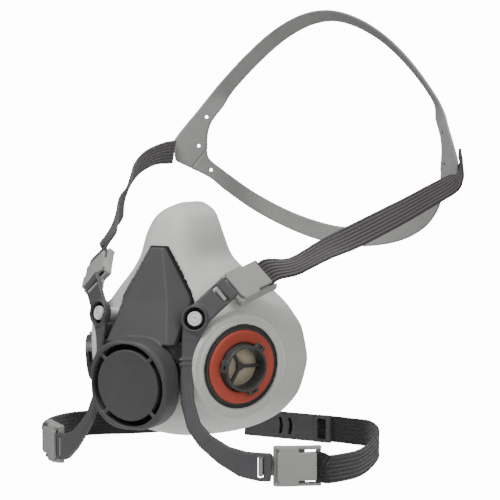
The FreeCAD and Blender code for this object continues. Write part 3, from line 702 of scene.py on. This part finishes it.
def moulded(name, colour, roughness, grain=1400.0, depth=0.00006, spread=0.07, specular=0.4,
            patches=35.0):
    """Moulded plastic or rubber: faint patches of tone, uneven gloss and a fine grained surface."""
    material, nodes, links, shader, place = new_material(name, roughness, specular)
    soft = noise(nodes, links, place, patches)
    low = linear(*(c * (1 - spread) for c in colour))
    high = linear(*(min(c * (1 + spread), 255) for c in colour))
    links.new(ramp(nodes, links, soft, low, high), shader.inputs["Base Color"])
    fine = noise(nodes, links, place, grain, 2.0)
    links.new(level(nodes, links, fine, roughness - 0.06, roughness + 0.06), shader.inputs["Roughness"])
    wavy = bump(nodes, links, noise(nodes, links, place, 90.0, 2.0), 0.0004, 0.25)
    links.new(bump(nodes, links, fine, depth, 0.6, wavy), shader.inputs["Normal"])
    return material


def webbing(name, dark, light, fleck):
    """Woven elastic: lengthwise ribs crossed by fine threads, with paler flecks on the ribs."""
    material, nodes, links, shader, place = new_material(name, 0.85, 0.25)
    uv = nodes.new("ShaderNodeUVMap").outputs["UV"]

    def bands(direction, scale, distortion):
        node = nodes.new("ShaderNodeTexWave")
        node.wave_type = "BANDS"
        node.bands_direction = direction
        node.inputs["Scale"].default_value = scale
        node.inputs["Distortion"].default_value = distortion
        node.inputs["Detail"].default_value = 2.0
        node.inputs["Detail Scale"].default_value = 3.0
        links.new(uv, node.inputs["Vector"])
        return node.outputs["Fac"]

    ribs = bands("Y", 3.1, 0.8)
    threads = bands("X", 9.0, 1.6)
    mix = nodes.new("ShaderNodeMath")
    mix.operation = "MULTIPLY"
    links.new(ribs, mix.inputs[0])
    links.new(threads, mix.inputs[1])
    base = ramp(nodes, links, mix.outputs[0], linear(*dark), linear(*light), 0.05, 0.75)
    flecks = noise(nodes, links, place, 2600.0, 1.0)
    blend = nodes.new("ShaderNodeMix")
    blend.data_type = "RGBA"
    links.new(level(nodes, links, flecks, 0.0, 0.55), blend.inputs["Factor"])
    links.new(base, blend.inputs["A"])
    blend.inputs["B"].default_value = linear(*fleck)
    links.new(blend.outputs["Result"], shader.inputs["Base Color"])
    shader.inputs["Sheen Weight"].default_value = 0.35
    shader.inputs["Sheen Roughness"].default_value = 0.45
    under = bump(nodes, links, ribs, 0.0005, 0.7)
    links.new(bump(nodes, links, threads, 0.0002, 0.6, under), shader.inputs["Normal"])
    return material


def silicone(name, colour):
    """Natural silicone: slightly see-through, soft gloss."""
    material = moulded(name, colour, 0.4, 900.0, 0.00003, 0.06, 0.5)
    shader = material.node_tree.nodes["Principled BSDF"]
    shader.inputs["Subsurface Weight"].default_value = 0.25
    shader.inputs["Subsurface Scale"].default_value = 0.001
    return material


def elastomer(name, colour):
    """Pale thermoplastic elastomer: matt, faintly cloudy, with a soft sheen at grazing angles."""
    material = moulded(name, colour, 0.56, 1700.0, 0.00004, 0.03, 0.35, 22.0)
    shader = material.node_tree.nodes["Principled BSDF"]
    shader.inputs["Sheen Weight"].default_value = 0.12
    shader.inputs["Sheen Roughness"].default_value = 0.5
    shader.inputs["Subsurface Weight"].default_value = 0.08
    shader.inputs["Subsurface Scale"].default_value = 0.0015
    return material


SEAL_FINISH = elastomer("seal_elastomer", (206, 206, 201))
PORT_FINISH = moulded("port_plastic", (66, 69, 69), 0.42)
GASKET_FINISH = moulded("gasket_rubber", (178, 78, 62), 0.62, 1900.0, 0.00008, 0.06, 0.3)
FLAP_FINISH = silicone("flap_silicone", (176, 165, 142))
COVER_FINISH = moulded("cover_plastic", (74, 74, 75), 0.55, 1500.0, 0.00008, 0.04, 0.35)
YOKE_FINISH = moulded("yoke_plastic", (78, 78, 80), 0.5, 1500.0, 0.00006, 0.05, 0.35)
STUD_FINISH = moulded("stud_plastic", (222, 222, 218), 0.4, 1200.0, 0.00004, 0.02)
BUCKLE_FINISH = moulded("buckle_plastic", (150, 150, 147), 0.45, 1300.0, 0.00005, 0.04, 0.4)
CRADLE_FINISH = moulded("cradle_plastic", (148, 148, 146), 0.5, 1100.0, 0.00008, 0.04, 0.35)
UPPER_WEB_FINISH = webbing("upper_webbing", (46, 41, 43), (76, 70, 71), (94, 88, 89))
NECK_WEB_FINISH = webbing("neck_webbing", (16, 16, 17), (36, 35, 36), (46, 45, 46))
CLIP_FINISH = moulded("clip_plastic", (70, 70, 70), 0.5)
# Flat black for painted shade: in the gap round the shield, under the cover's slot and in the stud holes
SHADOW_FINISH = moulded("painted_shade_black", (16, 16, 16), 0.7)


# ---------------------------------------------------------------- the pieces

def shield_field(p, grow, back_grow):
    """Pointed shield over the front, grown on its sides and back."""
    x, y, z = np.abs(p[0]), p[1], p[2]
    line = z[0, 0, :]
    half, flat, middle, side = smooth_columns(SHIELD_ROWS, line, 1.6)
    front = middle + (side - middle) * np.clip((x - flat) / np.maximum(half - flat, 0.5), 0.0, 1.3)
    faces = both((front - y) * 0.85 - grow, (y - front - SHIELD_THICKNESS) * 0.85 - back_grow, 0.4)
    sides = (x - half) * 0.85 - grow
    ends = np.maximum(z - SHIELD_TOP, SHIELD_BOTTOM - z) - grow
    return both(both(faces, sides, 0.8), ends, 0.6)


def cover_point(p):
    """Return grid points in the axes of the cover's front, local x along +X."""
    return local_grid(p, COVER_CENTRE, local_axes(X_AXIS, VALVE_NORMAL))


def face_field(p):
    """Elastomer facepiece."""
    x, y, z = np.abs(p[0]), p[1], p[2]
    line = z[0, 0, :].astype(float)
    half, wide, front, power = smooth_columns(FACE_SECTIONS, line, 2.2)
    top, bottom = FACE_SECTIONS[-1][0], FACE_SECTIONS[0][0]
    u = x / half
    v = np.maximum(wide - y, 0.0) / (wide - front)
    rho = (u ** power + v ** power + 1e-6) ** (1.0 / power)
    slopes = np.gradient(rho, FACE_GRID)
    steep = np.sqrt(slopes[0] ** 2 + slopes[1] ** 2 + slopes[2] ** 2)
    outer = (rho - 1.0) / np.maximum(steep, 0.012)
    outer = np.clip(outer, -40.0, 40.0)
    rim_line = np.interp(line, [r[0] for r in FACE_RIM], [r[1] for r in FACE_RIM])
    rim_line = smooth_table(list(zip(line, rim_line)), 1, line, 4.0)
    rim = y - np.asarray(rim_line, np.float32)[None, None, :]
    outer = both(outer, np.maximum(z - top, bottom - z), 4.5)

    right = local_grid([x, y, z], PORT_CENTRE, local_axes(Z_AXIS, PORT_NORMAL))
    cup = disc_field(right, PORT_CUP_RADIUS, -14.0, 0.0, 3.4)
    body = merge(outer, cup, 3.0)
    neck = disc_field(right, PORT_NECK_RADIUS, -16.0, -4.0, 0.8)
    shell = both(body, rim, 2.4)
    cavity = both(outer + FACE_WALL, rim + FACE_LIP_THICKNESS, 2.0)
    mouth = outer + FACE_LIP
    shell = cut(shell, merge(cavity, mouth, 2.0), 1.2)
    shell = merge(shell, neck, 1.0)
    recess = disc_field(right, PORT_RECESS_RADIUS, -3.4, -1.7, 0.3)
    recess = merge(recess, disc_field(right, PORT_MOUTH_RADIUS, -3.0, 6.0, 0.3), 0.3)
    groove = ring_field(right, GROOVE_INNER, GROOVE_OUTER, -1.1, 0.8, 0.6)
    bore = disc_field(right, PORT_BORE_RADIUS, -26.0, 4.0, 0.2)
    shell = cut(shell, recess, 0.9)
    shell = cut(shell, groove, 0.7)
    shell = cut(shell, bore, 0.3)
    seat = cover_point([p[0], y, z])
    shell = cut(shell, disc_field(seat, VALVE_BORE_RADIUS, -36.0, -10.0, 0.2), 0.3)
    flange_room = disc_field(seat, VALVE_ROOM_RADIUS, -SEAT_DISTANCE - 2.1, -10.0, 0.2)
    shell = cut(shell, flange_room, 0.4)
    shell = cut(shell, shield_field(p, 1.1, 0.6), 0.3)
    return shell


def build_face():
    """Pale facepiece with both port cups, the turned-in lip and the valve opening."""
    vertices, faces = solid(face_field, (-61.0, -66.0, -64.0), (61.0, 12.0, 65.0), FACE_GRID)
    add_mesh("facepiece_skin", vertices, faces, SEAL_FINISH, "facepiece", ["face_seal"], "seal_elastomer")


def cover_field(p):
    """Exhalation cover: rounded boss with an annular slot, disc and shield."""
    local = cover_point(p)
    boss = rounded_square_field(local, COVER_HALF, COVER_CORNER, -COVER_DEPTH, 0.0, 2.6)
    inner = rounded_square_field(
        local, COVER_HALF - COVER_WALL, COVER_CORNER - COVER_WALL, -COVER_DEPTH - 4.0, -COVER_WALL, 1.0)
    body = merge(boss, shield_field(p, 0.0, 0.0), 0.9)
    body = cut(body, inner, 0.3)
    radius = np.sqrt(local[0] ** 2 + local[1] ** 2)
    slot = np.maximum(np.maximum(DISC_RADIUS - radius, radius - SLOT_RADIUS), np.abs(local[2] + 0.6) - 2.6)
    diagonal = np.minimum(np.abs(local[0] - local[1]), np.abs(local[0] + local[1])) / math.sqrt(2)
    slot = both(slot, SPOKE_HALF - diagonal, 0.3)
    body = cut(body, slot, 0.35)
    disc_step = np.maximum(radius - SLOT_RADIUS, -0.55 - local[2])
    body = cut(body, disc_step, 0.3)
    walls = np.minimum(ring_field(local, DISC_RADIUS - 1.5, DISC_RADIUS, -7.0, -0.8, 0.2),
                       ring_field(local, SLOT_RADIUS, SLOT_RADIUS + 1.2, -9.0, -0.8, 0.2))
    return merge(body, walls, 0.2)


def build_cover():
    """Dark front cover, with black pieces of painted shade behind its shield and its slot."""
    vertices, faces = solid(cover_field, (-25.0, -82.5, -55.5), (25.0, -48.5, 40.0), 0.5)
    add_mesh("exhalation_cover", vertices, faces, COVER_FINISH, "front_cover",
             ["front_cover"], "cover_plastic")

    # Black sheet of painted shade behind the shield, seen through the gap round it.
    def shield_gap_shade_field(p):
        return shield_field([p[0], p[1] - 1.3, p[2]], 0.75, 0.0)

    vertices, faces = solid(shield_gap_shade_field, (-24.0, -74.0, -12.0), (24.0, -46.0, 41.0), 0.5)
    add_mesh("shield_gap_shade", vertices, faces, SHADOW_FINISH, "front_cover", slot="cover_plastic")
    # Black ring of painted shade under the annular slot, so that the slots look dark.
    inner, outer = DISC_RADIUS - 1.0, SLOT_RADIUS + 0.9
    slot_shade, quads = lathe([(inner, -7.0), (outer, -7.0), (outer, -6.2), (inner, -6.2)])
    place = to_world(slot_shade, COVER_CENTRE, local_axes(X_AXIS, VALVE_NORMAL))
    add_mesh("cover_slot_shade", place, quads, SHADOW_FINISH, "front_cover", slot="cover_plastic")


def tab_stations():
    """Return the stations of the right tab, from the stud out past the slot, and the slot's axes."""
    cross = unit(TAB_CROSS)
    along = square_to(TAB_SLOT - STUD_CENTRE, cross)
    outward = np.cross(cross, along)
    start = tuple(STUD_CENTRE)
    bend = tuple(STUD_CENTRE + along * 7.0 - outward * 0.2)
    end = tuple(TAB_SLOT + along * 5.6)
    wide = tuple(cross)
    return [(place, wide, TAB_HALF) for place in (start, bend, end)], along, cross, outward


def yoke_field(p):
    """Right half of the harness yoke."""
    stations, along, cross, outward = tab_stations()
    tab = strip_field(p, stations, 1.2, 1.0)
    arm = strip_field(p, ARM_STATIONS, 1.3, 0.9)
    bridge = strip_field(p, BRIDGE_STATIONS, 0.8, 0.5)
    body = merge(tab, arm, 1.2)
    stud = local_grid(p, STUD_CENTRE, local_axes(Z_AXIS, STUD_NORMAL))
    boss = disc_field(stud, 6.9, -2.2, 2.2, 0.7)
    body = merge(body, boss, 1.2)
    body = merge(body, bridge, 0.8)
    body = cut(body, disc_field(stud, 5.7, -0.9, 9.0, 0.3), 0.35)
    body = cut(body, disc_field(stud, 4.1, -9.0, 9.0, 0.3), 0.2)
    slot = local_grid(p, TAB_SLOT, (along, cross, outward))
    body = cut(body, block_field(slot, (0.0, 0.0, 0.0), (1.45, 5.1, 6.0), 0.4), 0.3)
    low_along = square_to(LOW_DIRECTION, Z_AXIS)
    low_out = np.cross(Z_AXIS, low_along)
    slot = local_grid(p, LOW_SLOT, (low_along, Z_AXIS, low_out))
    body = cut(body, block_field(slot, (0.0, 0.0, 0.0), (1.5, 5.4, 6.0), 0.4), 0.3)
    for height in (-16.4, -18.8):
        ridge = strip_field(p, [((23.6, -66.9, height), (0.0, 0.0, 1.0), 0.5),
                                ((28.8, -63.4, height), (0.0, 0.0, 1.0), 0.5)], 1.5, 0.45)
        body = merge(body, ridge, 0.5)
    return body


def build_yoke():
    """Both halves of the yoke in one mesh."""
    vertices, faces = solid(yoke_field, (-0.6, -71.0, -79.5), (69.0, -45.0, 26.0), 0.6)
    keep = vertices[:, 0] >= 0.0
    vertices[~keep, 0] = 0.0
    both_halves = joined_parts([(vertices, faces), (mirrored(vertices), flipped(faces))])
    add_mesh("yoke", *both_halves, YOKE_FINISH, "facepiece", ["harness_yoke"], "yoke_plastic")


def build_studs():
    """Pale studs with a shallow ring and cross in the head, each with a black ring of painted shade in the
    hole behind its head.
    """
    def field(p):
        body = disc_field(p, 3.7, -10.0, 1.7, 0.6)
        body = cut(body, ring_field(p, 2.3, 2.8, 1.3, 2.4, 0.1), 0.25)
        bars = np.minimum(block_field(p, (0, 0, 1.7), (1.5, 0.28, 0.4), 0.1),
                          block_field(p, (0, 0, 1.7), (0.28, 1.5, 0.4), 0.1))
        return cut(body, bars, 0.2)
    vertices, faces = solid(field, (-4.6, -4.6, -10.8), (4.6, 4.6, 2.6), 0.22)
    axes = local_axes(Z_AXIS, STUD_NORMAL)
    add_pair("stud", to_world(vertices, STUD_CENTRE, axes), faces, STUD_FINISH, "facepiece",
             "yoke_stud_{}", "stud_plastic")
    # Black ring of painted shade in the hole round the stud head.
    shade_ring, quads = lathe(SHADE_RING_PROFILE, 48)
    add_pair("stud_shade_ring", to_world(shade_ring, STUD_CENTRE, axes), quads, SHADOW_FINISH, "facepiece",
             None, "yoke_plastic")


def connector_field(p):
    """Bayonet port body in its own axes: local x up, z outwards."""
    body = ring_field(p, 11.2, 23.2, -3.0, -2.0, 0.3)
    body = merge(body, ring_field(p, 11.2, 20.4, -3.0, -0.8, 0.25), 0.3)
    body = merge(body, ring_field(p, 11.2, 12.3, -12.5, 1.0, 0.2), 0.3)
    body = merge(body, ring_field(p, 10.8, 12.0, -0.6, 5.4, 0.35), 0.2)
    body = merge(body, ring_field(p, 11.2, 15.6, -12.5, -10.1, 0.4), 0.3)
    body = merge(body, disc_field(p, 2.0, -2.6, -0.8, 0.3), 0.4)
    for index in range(3):
        turn = math.radians(LUG_TURN + 120.0 * index)
        q = turned(p, turn)
        lug = block_field(q, (13.0, 0.0, 3.9), (1.5, 2.9, 0.95), 0.35)
        lug = merge(lug, block_field(q, (12.5, -2.6, 2.6), (0.9, 0.5, 1.8), 0.25), 0.3)
        lug = cut(lug, block_field(q, (13.1, 0.4, 3.9), (0.6, 1.1, 2.0), 0.1), 0.2)
        body = merge(body, lug, 0.3)
        q = turned(p, turn + GUARD_TURN)
        body = merge(body, block_field(q, (5.8, 0.0, -1.8), (5.8, 0.75, 0.85), 0.3), 0.4)
    return body


def build_ports():
    """Both ports: hard body, red gasket and silicone flap."""
    vertices, faces = solid(connector_field, (-24.2, -24.2, -13.3), (24.2, 24.2, 5.4), 0.4)
    axes = local_axes(Z_AXIS, PORT_NORMAL)
    sets = (
        ("connector", (vertices, faces), PORT_FINISH, "facepiece", "port_connector_{}", "port_plastic"),
        ("gasket", lathe(GASKET_PROFILE), GASKET_FINISH, "facepiece", "port_gasket_{}", "gasket_rubber"),
        ("inlet_flap", lathe(INLET_FLAP_PROFILE), FLAP_FINISH,
         "inhalation_flap_{}", "inhalation_flap_{}", "flap_silicone"),
    )
    for name, (points, quads), finish, body, node, slot in sets:
        add_pair(name, to_world(points, PORT_CENTRE, axes), quads, finish, body, node, slot)


def build_valve():
    """Exhalation valve seat with its spoked hub, and the silicone flap on its stem."""
    front = -SEAT_DISTANCE

    def seat_field(p):
        body = ring_field(p, 12.8, 19.0, front - 2.0, front, 0.4)
        body = merge(body, ring_field(p, 12.8, 16.6, front - 8.0, front, 0.3), 0.4)
        body = merge(body, ring_field(p, 12.8, 18.4, front - 8.0, front - 6.4, 0.4), 0.4)
        body = merge(body, disc_field(p, 3.2, front - 2.6, front - 0.6, 0.4), 0.4)
        for index in range(3):
            q = turned(p, math.radians(90 + 120 * index))
            body = merge(body, block_field(q, (6.8, 0, front - 1.6), (6.8, 0.9, 1.0), 0.3), 0.5)
        return cut(body, disc_field(p, 1.65, front - 5.0, front + 2.0, 0.1), 0.1)

    vertices, faces = solid(seat_field, (-20.0, -20.0, front - 9.0), (20.0, 20.0, front + 1.0), 0.45)
    axes = local_axes(X_AXIS, VALVE_NORMAL)
    add_mesh("valve_seat", to_world(vertices, COVER_CENTRE, axes), faces, PORT_FINISH, "facepiece",
             ["exhalation_valve_seat"], "port_plastic")
    disc = lathe([(r, front + h) for r, h in OUTLET_FLAP_PROFILE])
    stem = lathe([(r, front + h) for r, h in STEM_PROFILE], 32)
    points, quads = joined_parts([disc, stem])
    add_mesh("outlet_flap", to_world(points, COVER_CENTRE, axes), quads, FLAP_FINISH, "exhalation_flap",
             ["exhalation_flap"], "flap_silicone")


def buckle_field(bar_half, side_half):
    """Return the field of a one-piece buckle whose hook bar lies on the local y axis."""
    def field(p):
        mirror = [p[0], np.abs(p[1]), p[2]]
        front, end = BUCKLE_START, BUCKLE_LENGTH
        middle = 0.5 * (front + end)
        body = block_field(mirror, (front + 1.6, 0, -2.35), (2.2, side_half, 1.45), 0.5)
        body = merge(body, block_field(mirror, (end - 1.3, 0, -2.35), (1.3, side_half, 1.45), 0.5), 0.4)
        rail = block_field(mirror, (middle, side_half - 0.9, -1.75), (0.5 * (end - front), 0.9, 2.05), 0.5)
        body = merge(body, rail, 0.4)
        cheek = block_field(mirror, (front + 7.0, side_half - 1.7, 0.4), (5.0, 1.5, 1.9), 0.5)
        body = merge(body, cheek, 0.5)
        plate = block_field(mirror, (middle - 0.7, 0, 1.3), (0.5 * (end - front) - 1.9, 7.2, 1.0), 0.45)
        body = merge(body, plate, 0.4)
        floor = block_field(mirror, (middle, 0, -3.2), (0.5 * (end - front) - 8.0, 8.4, 0.5), 0.3)
        body = merge(body, floor, 0.4)
        body = merge(body, block_field(mirror, (4.2, 0, -3.05), (5.0, bar_half, 0.75), 0.4), 0.5)
        body = merge(body, block_field(mirror, (0, 0, -1.9), (0.65, bar_half, 1.9), 0.4), 0.6)
        hook = np.sqrt(p[0] ** 2 + p[2] ** 2) - 1.1
        body = merge(body, both(hook, np.abs(p[1]) - bar_half, 0.3), 0.4)
        return body
    return field


def buckle_place(name):
    """Return a buckle's slot centre and axes on the right, and its side."""
    origin, direction, cross, side = BUCKLES[name]
    wide = unit(cross)
    along = square_to(direction, wide)
    return origin, (along, wide, np.cross(wide, along)), side


def build_buckles():
    """Two upper and two lower buckles."""
    low, high = (-2.0, -11.0, -4.6), (BUCKLE_LENGTH + 0.8, 11.0, 3.2)
    upper = solid(buckle_field(UPPER_BAR_HALF, BUCKLE_HALF - 0.9), low, high, 0.4)
    lower = solid(buckle_field(LOWER_BAR_HALF, BUCKLE_HALF), low, high, 0.4)
    for name in BUCKLES:
        points, quads = upper if name.startswith("upper") else lower
        origin, axes, side = buckle_place(name)
        place = to_world(points, origin, axes)
        if side < 0:
            place, quads = mirrored(place), flipped(quads)
        add_mesh(f"{name}_body", place, quads, BUCKLE_FINISH, name, [name], "buckle_plastic")


def buckle_entry(name):
    """Return strap stations through a buckle, from under its plate to just past its end."""
    origin, (along, wide, outward), side = buckle_place(name)
    stations = []
    for distance, lift in ((14.0, -0.3), (22.0, -0.3), (30.0, -0.1), (35.0, 0.2)):
        centre, width = origin + along * distance + outward * lift, wide
        if side < 0:
            centre, width = mirrored(centre), mirrored(width)
        stations.append((tuple(centre), tuple(width)))
    return stations


def add_strap(name, stations, finish, nodes, slot):
    """Ribbed elastic strap, bent between its buckle and the body it runs to."""
    profile = strip_profile(STRAP_HALF, STRAP_THICKNESS, 7, 0.08, 56)
    vertices, faces, marks = sweep(stations, profile, 14)
    obj = add_mesh(name, vertices, faces, finish, None, nodes, slot, marks)
    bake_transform(obj)


def build_straps():
    """Two upper straps and two neck straps."""
    for kind, node, finish, slot, buckle, entries, runs in (
            ("head_strap", "upper_strap", UPPER_WEB_FINISH, "upper_webbing", "upper_buckle", 4,
             (UPPER_RIGHT_STRAP, UPPER_LEFT_STRAP)),
            ("nape_strap", "neck_strap", NECK_WEB_FINISH, "neck_webbing", "lower_buckle", 3,
             (NECK_RIGHT_STRAP, NECK_LEFT_STRAP))):
        for side, run in zip(("right", "left"), runs):
            entry = buckle_entry(f"{buckle}_{side}")[:entries]
            add_strap(f"{kind}_{side}", entry + run, finish, [f"{node}_{side}"], slot)


def rolled(points):
    """Turn cradle points by the cradle's small sideways roll."""
    c, s = math.cos(CROWN_ROLL), math.sin(CROWN_ROLL)
    turn = np.array([[c, 0.0, s], [0.0, 1.0, 0.0], [-s, 0.0, c]])
    return ROLL_PIVOT + (np.asarray(points, float) - ROLL_PIVOT) @ turn.T


def junction_point(pair):
    """Return a point of the right junction plate from its distance along and its height."""
    return JUNCTION_CORNER + JUNCTION_DIRECTION * pair[0] + Z_AXIS * pair[1]


def crown_edges():
    """Return the outer and inner edges of the crown band from the right junction to the left."""
    outer = [junction_point(a) for a, b in JUNCTION_PAIRS]
    inner = [junction_point(b) for a, b in JUNCTION_PAIRS]
    centres = [np.array(c, float) for c in CROWN_CENTRES]
    for i, centre in enumerate(centres):
        before = centres[i - 1] if i else 0.5 * (outer[-1] + inner[-1])
        after = centres[i + 1] if i + 1 < len(centres) else mirrored(centres[i - 1])
        tangent = unit(after - before)
        radial = square_to(np.cross(tangent, -Y_AXIS), tangent)
        across = square_to(Y_AXIS * math.cos(BAND_CONE) - radial * math.sin(BAND_CONE), tangent)
        outer.append(centre - across * BAND_HALF)
        inner.append(centre + across * BAND_HALF)
    outer += [mirrored(p) for p in reversed(outer[:-1])]
    inner += [mirrored(p) for p in reversed(inner[:-1])]
    return rolled(outer), rolled(inner)


def drill(obj, places, radius):
    """Cut round holes through a thin piece; places are pairs of centre and direction."""
    for centre, direction in places:
        rotation = Vector(direction).to_track_quat("Z", "Y").to_matrix().to_4x4()
        bpy.ops.mesh.primitive_cylinder_add(vertices=24, radius=radius * MM, depth=12 * MM)
        tool = bpy.context.object
        tool.matrix_world = Matrix.Translation(Vector(np.asarray(centre) * MM)) @ rotation
        modifier = obj.modifiers.new("hole", "BOOLEAN")
        modifier.operation = "DIFFERENCE"
        modifier.solver = "EXACT"
        modifier.object = tool
        bpy.context.view_layer.objects.active = obj
        bpy.ops.object.modifier_apply(modifier=modifier.name)
        bpy.data.objects.remove(tool, do_unlink=True)


def build_cradle():
    """Crown band with its junction plates, and the rear band that folds at the creases."""
    outer, inner = crown_edges()
    vertices, faces = edge_ribbon(spline(outer, 6), spline(inner, 6), BAND_THICKNESS, 14)
    crown = add_mesh("crown_cradle", vertices, faces, CRADLE_FINISH, "head_harness",
                     ["crown_band"], "cradle_plastic")
    holes = [rolled([junction_point(place)])[0] for place in HOLES]
    normal = np.cross(JUNCTION_DIRECTION, Z_AXIS)
    places = [(hole, normal) for hole in holes]
    left_holes = [rolled([mirrored(junction_point(place))])[0] for place in HOLES]
    places += [(hole, mirrored(normal)) for hole in left_holes]
    drill(crown, places, HOLE_RADIUS)

    right_pair = [junction_point(place) for place in ((10.35, -9.35), (19.6, 2.5))]
    left_pair = rolled([mirrored(point) for point in right_pair])
    right_pair = rolled(right_pair)
    centres = np.array(REAR_CENTRES, float)
    low, high = [left_pair[0]], [left_pair[1]]
    for centre in centres:
        low.append(centre - Z_AXIS * REAR_HALF)
        high.append(centre + Z_AXIS * REAR_HALF)
    low.append(right_pair[0])
    high.append(right_pair[1])
    vertices, faces = edge_ribbon(spline(low, 6), spline(high, 6), BAND_THICKNESS, 14)
    rear = add_mesh("rear_cradle", vertices, faces, CRADLE_FINISH, "rear_band",
                    ["rear_band"], "cradle_plastic")
    hole = rolled([mirrored(junction_point((22.7, -9.9)))])[0]
    drill(rear, [(hole, mirrored(normal))], HOLE_RADIUS)


def clip_point(p):
    """Return grid points about the centre of the neck clip."""
    return [p[0], p[1] - CLIP_Y - 1.1, p[2] - CLIP_Z]


def build_clip():
    """Neck clip: slotted receiver on the right, hook on the left."""
    def receiver(p):
        d = clip_point(p)
        body = block_field(d, (19.5, 0, 0), (27.5, 1.1, 7.5), 0.6)
        body = merge(body, block_field(d, (42.0, -0.2, 0), (5.0, 1.6, 7.5), 0.6), 0.4)
        body = cut(body, block_field(d, (41.7, 0, 0), (2.7, 5.0, 5.6), 0.6), 0.4)
        for x in (15.9, 21.9):
            bow = (d[2] / 7.0) ** 2 * 2.2
            q = [d[0] + bow, d[1], d[2]]
            body = cut(body, block_field(q, (x, 0, 0), (0.9, 5.0, 4.6), 0.5), 0.4)
            rim = block_field(q, (x + 2.2, -1.2, 0), (0.5, 0.6, 4.8), 0.3)
            body = merge(body, rim, 0.4)
        body = merge(body, block_field(d, (-11.5, -0.1, 0), (4.5, 1.0, 2.5), 0.4), 0.4)
        return merge(body, block_field(d, (-15.0, -1.7, 0), (1.0, 2.6, 2.5), 0.4), 0.4)

    def hook(p):
        d = clip_point(p)
        body = block_field(d, (-35.5, 0, 0), (13.5, 1.1, 7.5), 0.6)
        body = cut(body, block_field(d, (-43.7, 0, 0), (2.7, 5.0, 5.6), 0.6), 0.4)
        body = merge(body, block_field(d, (-23.0, -3.6, 0), (1.0, 3.5, 2.5), 0.4), 0.5)
        body = merge(body, block_field(d, (-16.5, -6.1, 0), (7.5, 1.0, 2.5), 0.4), 0.4)
        return merge(body, block_field(d, (-10.0, -4.5, 0), (1.0, 2.6, 2.5), 0.4), 0.4)

    vertices, faces = solid(receiver, (-17.0, 44.0, -74.0), (48.0, 51.2, -57.4), 0.45)
    add_mesh("clip_receiver", vertices, faces, CLIP_FINISH, "neck_right",
             ["neck_clip_receiver"], "clip_plastic")
    vertices, faces = solid(hook, (-50.0, 41.4, -74.0), (-8.0, 51.2, -57.4), 0.45)
    add_mesh("clip_hook", vertices, faces, CLIP_FINISH, "neck_left", ["neck_clip_hook"], "clip_plastic")


# ---------------------------------------------------------------- stage, light and camera

def add_stage():
    """Pale floor well below the mask."""
    bpy.ops.mesh.primitive_circle_add(vertices=64, radius=0.25, fill_type="NGON", location=(0, 0, -0.16))
    floor = bpy.context.object
    floor.name = "floor"
    material = bpy.data.materials.new("floor_paper")
    material.use_nodes = True
    shader = material.node_tree.nodes["Principled BSDF"]
    shader.inputs["Base Color"].default_value = (0.93, 0.93, 0.93, 1.0)
    shader.inputs["Roughness"].default_value = 0.9
    shader.inputs["Emission Color"].default_value = (1.0, 1.0, 1.0, 1.0)
    shader.inputs["Emission Strength"].default_value = 0.1
    floor.data.materials.append(material)


def add_light(name, place, target, size, power):
    """Add one soft square light that faces the target."""
    data = bpy.data.lights.new(name, "AREA")
    data.size = size
    data.energy = power
    light = bpy.data.objects.new(name, data)
    light.location = place
    light.rotation_euler = (Vector(target) - Vector(place)).to_track_quat("-Z", "Y").to_euler()
    bpy.context.scene.collection.objects.link(light)


def add_studio():
    """White surroundings and three soft lights."""
    world = bpy.data.worlds.new("studio")
    bpy.context.scene.world = world
    world.use_nodes = True
    background = world.node_tree.nodes["Background"]
    background.inputs["Color"].default_value = (1.0, 1.0, 1.0, 1.0)
    background.inputs["Strength"].default_value = 0.3
    bright = world.node_tree.nodes.new("ShaderNodeBackground")
    bright.inputs["Strength"].default_value = 17.0
    seen = world.node_tree.nodes.new("ShaderNodeLightPath").outputs["Is Camera Ray"]
    mix = world.node_tree.nodes.new("ShaderNodeMixShader")
    links = world.node_tree.links
    links.new(seen, mix.inputs["Fac"])
    links.new(background.outputs["Background"], mix.inputs[1])
    links.new(bright.outputs["Background"], mix.inputs[2])
    links.new(mix.outputs["Shader"], world.node_tree.nodes["World Output"].inputs["Surface"])
    for light in LIGHTS:
        add_light(*light)


def add_camera():
    """Camera at the viewing angle of the product picture."""
    level_part = math.cos(CAMERA_ELEVATION)
    away = Vector((
        math.sin(CAMERA_AZIMUTH) * level_part,
        -math.cos(CAMERA_AZIMUTH) * level_part,
        math.sin(CAMERA_ELEVATION),
    ))
    data = bpy.data.cameras.new("camera")
    data.sensor_width = 36.0
    data.lens = CAMERA_LENS
    data.clip_start = 0.05
    camera = bpy.data.objects.new("camera", data)
    camera.location = Vector(CAMERA_TARGET) + away * CAMERA_DISTANCE
    camera.rotation_euler = (-away).to_track_quat("-Z", "Y").to_euler()
    bpy.context.scene.collection.objects.link(camera)
    bpy.context.scene.camera = camera


build_face()
build_cover()
build_yoke()
build_studs()
build_ports()
build_valve()
build_buckles()
build_straps()
build_cradle()
build_clip()
add_stage()
add_studio()
add_camera()
